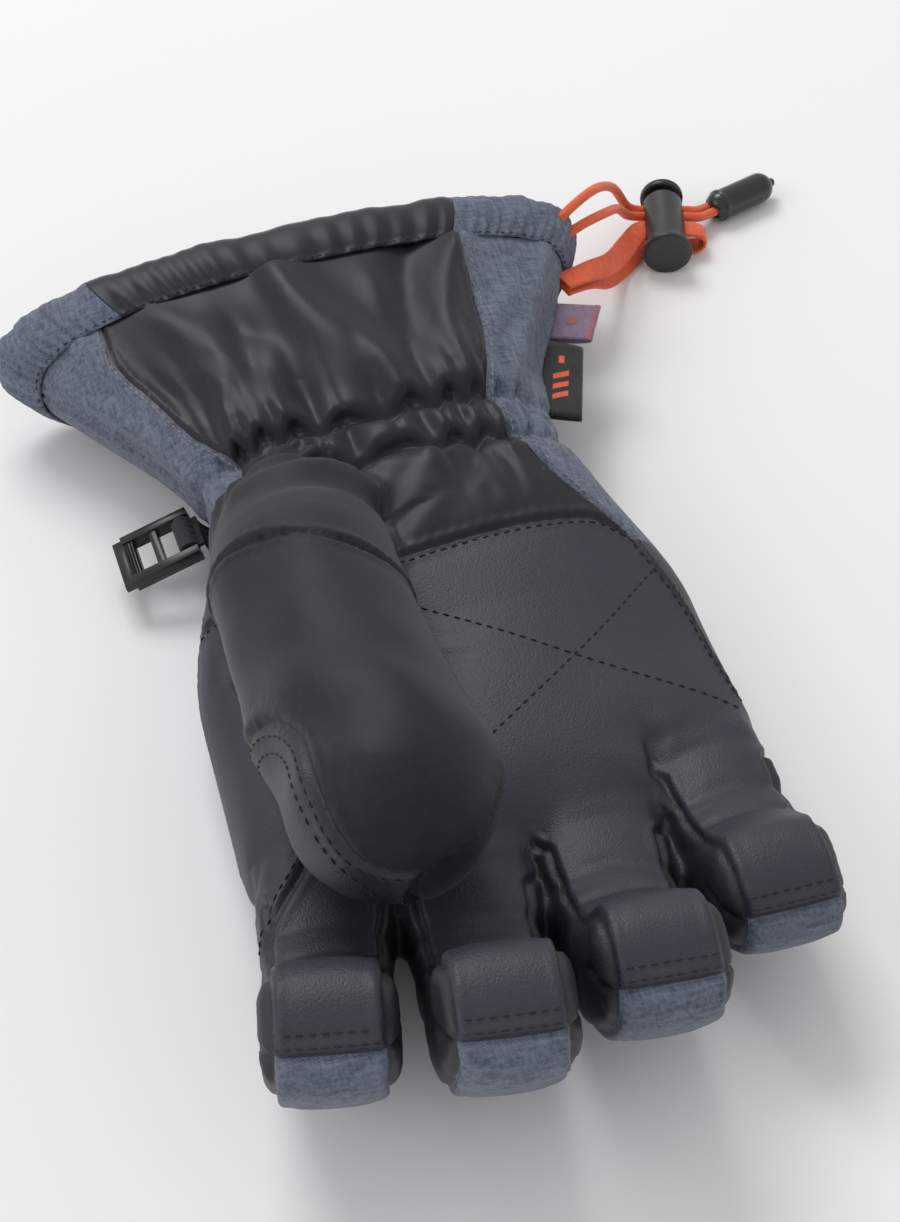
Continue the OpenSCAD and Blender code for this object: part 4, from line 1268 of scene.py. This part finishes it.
# A closed two-sided sheet, open at one end: out along one side and back along the other
def bagMesh(rowsOut, rowsIn):
    rows = np.concatenate([rowsOut, rowsIn[::-1]])
    return gridMesh(rows)


def addLining():
    angles = np.linspace(0, 360, 145)[:-1]
    ripple = lambda y: 0.5 * np.sin(np.radians(angles) * 11 + y / 9) + 0.4 * np.sin(np.radians(angles) * 23
        + y / 5)
    stations = np.linspace(-34, 130, 50)
    deep = lambda y: 5.9 + 1.9 * ramp(y, 22, 36) * ramp(-y, -95, -76) - 1.6 * ramp(y, 113, 121)
    outer = np.array([tubePoint(y, angles, deep(y) - 0.3 + 0.3 * ripple(y)) for y in stations])
    inner = np.array([tubePoint(y, angles, deep(y) + 0.7 + 0.3 * ripple(y)) for y in stations])
    verts, faces = bagMesh(outer, inner)
    obj = dress(meshObject("handLining", verts, faces, mm), "fleece")
    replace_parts(obj, "hand_lining")
    attach(obj, "hand")
    sunk = lambda y: 3.3 + 2.6 * ramp(y, 20, 34) * ramp(-y, -84, -74) + 0.9 * ramp(y, 74, 84) * ramp(-y,
        -118, -110)
    outer = np.array([tubePoint(y, angles, sunk(y) + 0.15 * ripple(y)) for y in np.linspace(-34, 119, 40)])
    inner = np.array([tubePoint(y, angles, sunk(y) + 1.2 + 0.15 * ripple(y))
        for y in np.linspace(-34, 119, 40)])
    verts, faces = bagMesh(outer, inner)
    obj = dress(meshObject("handPadding", verts, faces, mm), "fleece")
    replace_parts(obj, "hand_membrane", "hand_insulation", "wrist_elastic")
    attach(obj, "hand")


def addFingerLining(name):
    length = fingers[name]["length"]
    angles = np.linspace(0, 2 * pi, 33)[:-1]
    def shell(inset):
        rows = []
        for s in np.linspace(-8, length - inset - 0.5, 28):
            into = max((s - (length - stall["tip"])) / (stall["tip"] - inset), 0)
            narrow = max(1 - into ** 2.6, 0.001) ** 0.42
            w, h = (13.0 - inset) * (0.7 + 0.3 * narrow), (13.2 - inset) * max(narrow, 0.2)
            rows.append(fingerPoint(name, s, w * signedPow(np.cos(angles), 0.6),
                h * signedPow(np.sin(angles), 0.6)))
        return np.array(rows)
    verts, faces = bagMesh(shell(3.2), shell(5.4))
    obj = dress(meshObject(name + "Lining", verts, faces, mm), "fleece")
    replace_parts(obj, name + "_insulation", name + "_lining")
    attach(obj, name)


def addThumbLining():
    along = thumb["along"]
    across = np.cross(along, [0, 0, 1.0])
    across /= np.linalg.norm(across)
    up = np.cross(across, along)
    angles = np.linspace(0, 2 * pi, 33)[:-1]
    def shell(r):
        rows = []
        for t in np.concatenate([np.linspace(2, thumb["length"], 14),
            thumb["length"] + r * np.sin(np.linspace(0.12, 1.45, 9))]):
            radius = np.sqrt(max(r * r - max(t - thumb["length"], 0) ** 2, 0.3))
            rows.append(thumb["root"] + along * t + radius
                * (np.cos(angles)[:, None] * across + np.sin(angles)[:, None] * up))
        return np.array(rows)
    verts, faces = bagMesh(shell(thumb["radius"] - 3.4), shell(thumb["radius"] - 5.8))
    obj = dress(meshObject("thumbLining", verts, faces, mm), "fleece")
    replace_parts(obj, "thumb_insulation", "thumb_lining")
    attach(obj, "thumb")


underThumb = {"y": (-58, 16), "angles": (97, 172), "depth": 1.5, "thick": 0.8}


# the palm's leather goes on under the thumb, where the skin's forms run into each other
def addUnderThumb():
    ys, turns = np.linspace(*underThumb["y"], 48), np.linspace(*underThumb["angles"], 58)
    outer = np.array([tubePoint(y, turns, underThumb["depth"]) for y in ys])
    inner = np.array([tubePoint(y, turns[::-1], underThumb["depth"] + underThumb["thick"]) for y in ys])
    verts, faces = gridMesh(np.concatenate([outer, inner], axis=1))
    obj = dress(meshObject("palmUnderThumb", verts, faces, mm), "leather")
    attach(obj, "hand")


addUnderThumb()
addLining()
for name in fingerNames:
    addFingerLining(name)
addThumbLining()
print("hem and lining in")


# drawcord, pull loop, cord lock and cord end
cordPlan = {"diameter": 2.8, "tapeWidth": 6.4, "tapeThick": 1.0}
strandRoutes = {"drawcordStrandUpper": [(69.5, 137, 33), (74.5, 139.5, 35.5), (85, 149, 33),
    (95.5, 162, 22), (102.3, 166.8, 10.5), (107.4, 167.5, 7.4), (113.6, 165.7, 7.4), (119.9, 163.9, 7.4),
    (124, 164.2, 6.2), (128.1, 166.6, 4.8), (134.8, 168.9, 4.8)],
    "drawcordStrandLower": [(71, 136, 28), (77.5, 138, 30), (87, 145, 27), (95.5, 157, 18),
    (101.2, 163.3, 10), (106.6, 164.6, 7.4), (112.8, 162.8, 7.4), (119, 161, 7.4), (124, 161, 6.2),
    (129.1, 163.8, 4.8), (135.8, 166.1, 4.8)]}
tapeRoute = [(66.8, 122, 24.4), (76.5, 127, 22), (86.5, 136.5, 15.5), (96, 149.5, 9.5),
    (104.9, 158.8, 7.4), (111.2, 157, 7.4), (117.4, 155.2, 7.4), (121.4, 154, 6.6), (122.8, 153.6, 4),
    (121.2, 154.1, 1.4), (117, 155.3, 0.7), (110, 157.3, 0.7), (103, 157, 0.9), (95, 149, 2.6),
    (86, 137.5, 9.4), (77, 128, 18.4), (66.8, 122, 22.2)]
lockFrame = {"at": Vector((0.112, 0.160, 0.0074)), "turn": -16, "springFoot": 11.85, "springKept": 0.42}
cordEndFrame = {"at": Vector((0.140, 0.169, 0.0048)), "turn": 18.6}


def smoothPath(points, cuts):
    p = np.array(points, float)
    out = []
    n = len(p) - 1
    for i in range(n):
        a, b, c, d = p[max(i - 1, 0)], p[i], p[min(i + 1, n)], p[min(i + 2, n)]
        for k in range(cuts):
            u = k / cuts
            out.append(0.5 * (2 * b + (c - a) * u + (2 * a - 5 * b + 4 * c - d) * u ** 2
                + (3 * b - a - 3 * c + d) * u ** 3))
    return np.array(out + [p[n]])


def lengthOf(points):
    return float(np.linalg.norm(np.diff(points, axis=0), axis=1).sum())


def cordCurve(name, points, diameter):
    curve = bpy.data.curves.new(name, "CURVE")
    curve.dimensions = "3D"
    spline = curve.splines.new("POLY")
    spline.points.add(len(points) - 1)
    for point, p in zip(spline.points, points):
        point.co = (*(p * mm), 1)
    curve.bevel_depth = diameter / 2 * mm
    curve.bevel_resolution = 5
    curve.use_fill_caps = True
    obj = bpy.data.objects.new(name, curve)
    scene.collection.objects.link(obj)
    return obj


# A woven tape with fine cross ribs and rounded selvedges
def ribbon(name, points, width, thick, side, ribPitch):
    fine, _ = resampled(points, np.tile([0, 0, 1.0], (len(points), 1)), ribPitch / 4)
    fine = np.concatenate([fine, points[-1:]])
    ahead = np.gradient(fine, axis=0)
    ahead /= np.linalg.norm(ahead, axis=1)[:, None]
    rows = []
    section = [(-0.5, -0.32), (-0.42, -0.5), (0.42, -0.5), (0.5, -0.32), (0.5, 0.32), (0.42, 0.5),
        (-0.42, 0.5), (-0.5, 0.32)]
    for k, (p, t) in enumerate(zip(fine, ahead)):
        across = side - t * (side @ t)
        across /= np.linalg.norm(across)
        up = np.cross(t, across)
        rib = 1 + 0.22 * (1 if k % 4 in (1, 2) else -0.6)
        rows.append([p + across * width * u * (1 + 0.012 * (rib - 1)) + up * thick * v * rib
            for u, v in section])
    verts, faces = gridMesh(np.array(rows))
    return meshObject(name, verts, [tuple(reversed(q)) for q in faces], mm)


# A moulded part: the CAD part's own shape with its edges rounded over
def softened(name, node, material, width=0.35):
    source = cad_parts[node]
    obj = bpy.data.objects.new(name, source.data.copy())
    scene.collection.objects.link(obj)
    weld = obj.modifiers.new("weld", "WELD")
    weld.merge_threshold = 0.00002
    flat = obj.modifiers.new("flat", "DECIMATE")
    flat.decimate_type = "DISSOLVE"
    flat.angle_limit = radians(4)
    round_ = obj.modifiers.new("round", "BEVEL")
    round_.width = width * mm
    round_.segments = 3
    round_.limit_method = "ANGLE"
    round_.angle_limit = radians(32)
    round_.use_clamp_overlap = True
    obj.modifiers.new("even", "WEIGHTED_NORMAL")
    applyModifiers(obj)
    dress(obj, material)
    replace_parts(obj, node)
    return obj


# A turned form from (radius, height) stations
def lathe(name, profile, matrix, around=48):
    angles = np.linspace(0, 2 * pi, around + 1)[:-1]
    rows = np.array([[(r * np.cos(a), r * np.sin(a), z) for a in angles] for r, z in profile])
    verts, faces = gridMesh(rows)
    obj = meshObject(name, verts, faces, mm)
    obj.data.transform(matrix)
    return obj


lockMatrix = (Matrix.Translation(lockFrame["at"]) @ Matrix.Rotation(radians(lockFrame["turn"]), 4,
    "Z") @ Matrix.Rotation(radians(-90), 4, "X"))
acrossLock = np.array([sin(radians(-lockFrame["turn"])), cos(radians(lockFrame["turn"])), 0])

barrel = attach(softened("lockBarrel", "lock_barrel", "grey", 0.4), "hand")
foot = lathe("lockFootDish", [(0.3, -14.95), (4.2, -14.9), (5.2, -15.15), (6.4, -15.1), (7.1, -14.7),
    (7.15, -14.2), (6.6, -13.9), (0.3, -13.9)], lockMatrix)
attach(dress(foot, "grey"), "hand")
button = softened("lockButton", "lock_button", "buckle", 0.3)
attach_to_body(button, "lock_button")
cap = lathe("lockButtonCap", [(0.3, 14.9), (2.4, 14.85), (4.2, 14.6), (5.4, 14.15), (6.1, 13.5),
    (6.45, 12.7), (6.5, 11.6), (6.2, 11.05), (5.4, 10.9), (0.3, 10.9)], lockMatrix)
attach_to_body(dress(cap, "buckle"), "lock_button")
rings = lathe("lockButtonRidges", [(4.8, 14.3)] + [(r + (0.16 if k % 2 else 0), z)
    for k, (r, z) in enumerate((4.6 - 0.5 * j, 14.62 + 0.05 * j) for j in range(8))] + [(0.5, 14.3)],
    lockMatrix)
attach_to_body(dress(rings, "buckle"), "lock_button")
spring = softened("lockSpring", "lock_spring", "steel", 0.02)
attach(spring, "hand")
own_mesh(spring)

endCover = attach(softened("cordEndCover", "cord_end_cover", "satin", 0.3), "hand")
endBase = attach(softened("cordEndBase", "cord_end_base", "satin", 0.3), "hand")
endMatrix = (Matrix.Translation(cordEndFrame["at"]) @ Matrix.Rotation(radians(cordEndFrame["turn"]), 4,
    "Z") @ Matrix.Rotation(radians(90), 4, "Y"))
nib = lathe("cordEndNib", [(0.3, 11.6), (1.3, 11.7), (1.5, 12.3), (1.35, 13.0), (0.9, 13.5),
    (0.3, 13.7)][::-1], endMatrix, 24)
attach(dress(nib, "satin"), "hand")
band = lathe("cordEndCollar", [(4.3, -8.6), (4.75, -8.4), (4.85, -7.6), (4.75, -6.9), (4.3, -6.7)], endMatrix)
attach(dress(band, "satin"), "hand")

tapePoints = smoothPath(tapeRoute, 8)
tape = ribbon("pullLoop", tapePoints, cordPlan["tapeWidth"], cordPlan["tapeThick"], acrossLock, 1.1)
dress(tape, "orange")
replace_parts(tape, "pull_loop")
attach(tape, "hand")

lockPieces = [barrel, button, foot, cap, rings, spring, tape]
endPieces = [endCover, endBase, nib, band]
for name, node, extras in (("drawcordStrandUpper", "drawcord_strand_upper", lockPieces),
    ("drawcordStrandLower", "drawcord_strand_lower", endPieces)):
    points = smoothPath(strandRoutes[name], 4)
    strand = cordCurve(name, points, cordPlan["diameter"])
    strand.data.materials.append(materials["orange"])
    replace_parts(strand, node)
    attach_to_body(strand, "hand")
    print(name, "%.0f mm" % lengthOf(points))
inHemPlan = {"y": 133.0, "angles": (30, 365), "depth": 2.6, "diameter": 2.4}
inHemPoints = tubePoint(inHemPlan["y"], np.linspace(*inHemPlan["angles"], 121), inHemPlan["depth"])
inHem = cordCurve("hemDrawcord", inHemPoints, inHemPlan["diameter"])
inHem.data.materials.append(materials["orange"])
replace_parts(inHem, "hem_drawcord")
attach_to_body(inHem, "hand")


# labels, strap and buckle
labels = {
    "side": {"y": (99, 111), "reach": 13, "sag": 1.5, "curl": 0.8},
    "hem": {"y": (70, 97), "reach": 11, "sag": -1.0, "curl": 0.6},
}


def labelFrame(plan):
    a, b = tubePoint(plan["y"][0], 0, 0.5), tubePoint(plan["y"][1], 0, 0.5)
    out = np.cross(b - a, [0, 0, 1.0])
    return a, b - a, out / np.linalg.norm(out) * plan["reach"]


def labelBend(plan, u, v):
    return plan["sag"] * u * u + plan["curl"] * np.sin(pi * v) * u + 0.3 * np.sin(3 * pi * v) * u


# A ribbon folded in two and sewn into the side seam by its cut ends
def foldedLabel(name, plan, material):
    a, along, out = labelFrame(plan)
    rows = []
    for v in np.linspace(0, 1, 15):
        row = []
        edge = a + along * v
        path = [(u, 0.55 + 0.35 * np.sin(pi * u)) for u in np.linspace(0, 1, 16)] + [(1.03, 0.0)]
        path += [(u, -0.55 - 0.35 * np.sin(pi * u)) for u in np.linspace(1, 0, 16)]
        path += [(u, -0.2 - 0.2 * np.sin(pi * u)) for u in np.linspace(0, 0.97, 12)] + [(0.985, 0)]
        path += [(u, 0.2 + 0.2 * np.sin(pi * u)) for u in np.linspace(0.97, 0, 12)]
        for u, h in path:
            row.append(edge + out * u + np.array([0, 0, h + labelBend(plan, u, v)]))
        rows.append(row)
    verts, faces = gridMesh(np.array(rows))
    obj = dress(meshObject(name, verts, faces, mm), material)
    return attach(obj, "hand")


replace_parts(foldedLabel("sideLabel", labels["side"], "purple"), "side_label")
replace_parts(foldedLabel("hemTag", labels["hem"], "tagCloth"), "hem_tag")


# plain woven shapes on a label's upper face, each a corner list in (along, out) from 0 to 1
def labelMark(name, plan, shapes, material, lift=0.12):
    a, along, out = labelFrame(plan)
    verts, faces = [], []
    for corners in shapes:
        for top in (lift, lift - 0.25):
            for v, u in corners:
                height = 0.55 + 0.35 * np.sin(pi * u) + top + labelBend(plan, u, v)
                verts.append(a + along * v + out * u + np.array([0, 0, height]))
        n, base = len(corners), len(verts) - 2 * len(corners)
        faces.append(tuple(base + k for k in range(n)))
        faces.append(tuple(base + n + k for k in range(n - 1, -1, -1)))
        faces += [(base + k, base + n + k, base + n + (k + 1) % n, base + (k + 1) % n) for k in range(n)]
    obj = dress(meshObject(name, verts, faces, mm), material, False)
    return attach(obj, "hand")


ring = [[(0.5 + 0.13 * np.cos(k * pi / 3), 0.5 + 0.13 * np.sin(k * pi / 3)) for k in range(6)]]
labelMark("sideLabelMark", labels["side"], ring, "labelEdge")
edge = [[(v0, 0.9), (v0 + 0.2, 0.9), (v0 + 0.2, 0.99), (v0, 0.99)] for v0 in (0.0, 0.2, 0.4, 0.6, 0.8)]
labelMark("sideLabelEdge", labels["side"], edge, "labelEdge")
bars = ([[(v0, 0.3), (v0 + 0.07, 0.3), (v0 + 0.13, 0.68), (v0 + 0.06, 0.68)] for v0 in (0.2, 0.34, 0.48)]
    + [[(0.7, 0.42), (0.8, 0.42), (0.8, 0.56), (0.7, 0.56)]])
labelMark("hemTagMark", labels["hem"], bars, "orange")

strap = {"y": 66, "width": 11, "from": 197, "to": 350}


def addStrap():
    angles = np.linspace(strap["from"], strap["to"], 260)
    section = [(-0.5, -0.5), (-0.47, -1.5), (0.47, -1.5), (0.5, -0.5), (0.47, 0.1), (-0.47, 0.1)]
    rows = [tubePoint(np.array([strap["y"] + strap["width"] * u for u, d in section]), a,
        np.array([d for u, d in section]) - 0.9 - 0.12 * (k % 2)) for k, a in enumerate(angles)]
    verts, faces = gridMesh(np.array(rows))
    obj = dress(meshObject("wristStrap", verts, [tuple(reversed(q)) for q in faces], mm), "webbing")
    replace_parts(obj, "wrist_strap")
    attach(obj, "hand")


addStrap()
attach(softened("buckleTab", "buckle_tab", "webbing", 0.3), "hand")
buckle = softened("strapBuckle", "strap_buckle", "buckle", 0.35)
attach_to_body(buckle, "strap_buckle")
ridgeMatrix = (Matrix.Translation(Vector((-0.0525, 0.063, 0.0145))) @ Matrix.Rotation(radians(3), 4,
    "Z") @ Matrix.Rotation(radians(-18), 4, "Y"))
verts, faces = [], []
for k in range(4):
    x = -15.4 + k * 0.75
    for j, (dx, z) in enumerate(((-0.3, 1.45), (0.0, 1.85), (0.3, 1.45))):
        verts += [(x + dx, -5.4, z), (x + dx, 5.4, z)]
    base = k * 6
    faces += [(base, base + 1, base + 3, base + 2), (base + 2, base + 3, base + 5, base + 4),
        (base, base + 2, base + 4), (base + 1, base + 5, base + 3), (base, base + 4, base + 5, base + 1)]
ridges = meshObject("buckleRidges", verts, faces, mm)
ridges.data.transform(ridgeMatrix)
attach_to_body(dress(ridges, "buckle", False), "strap_buckle")
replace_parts(panels["index_leather"], "index_reinforcement")
bpy.data.objects.remove(skin)
print("trim on")


# floor and light
def addLight(name, at, aim, size, power, colour=(1, 1, 1)):
    data = bpy.data.lights.new(name, "AREA")
    data.shape = "RECTANGLE"
    data.size, data.size_y = size
    data.energy = power
    data.color = colour
    light = bpy.data.objects.new(name, data)
    scene.collection.objects.link(light)
    light.location = at
    light.rotation_euler = (Vector(aim) - Vector(at)).to_track_quat("-Z", "Y").to_euler()


def addStudio():
    world = bpy.data.worlds.new("studio")
    scene.world = world
    world.use_nodes = True
    world.node_tree.nodes["Background"].inputs["Color"].default_value = (1.0, 1.0, 1.0, 1)
    world.node_tree.nodes["Background"].inputs["Strength"].default_value = 0.63
    addLight("over", (-0.3, 1.5, 2.0), (0, 0, 0.02), (1.3, 1.0), 27)
    addLight("left", (-2.0, -0.3, 1.3), (0, 0, 0.03), (1.2, 1.2), 9)
    scene.view_settings.view_transform = "Standard"
    floor = meshObject("floor", [(-3, -3, 0), (3, -3, 0), (3, 3, 0), (-3, 3, 0)], [(0, 1, 2, 3)])
    m, t, s, v = startMaterial("paleFloor", Roughness=0.9, Specular_IOR_Level=0.1)
    t.links.new(mixColour(t, placed(t, "mottle", v, Scale=4.0)["Mask"], (0.85, 0.85, 0.852, 1),
        (0.87, 0.87, 0.872, 1)), s.inputs["Base Color"])
    floor.data.materials.append(m)


addStudio()
print("studio lit")
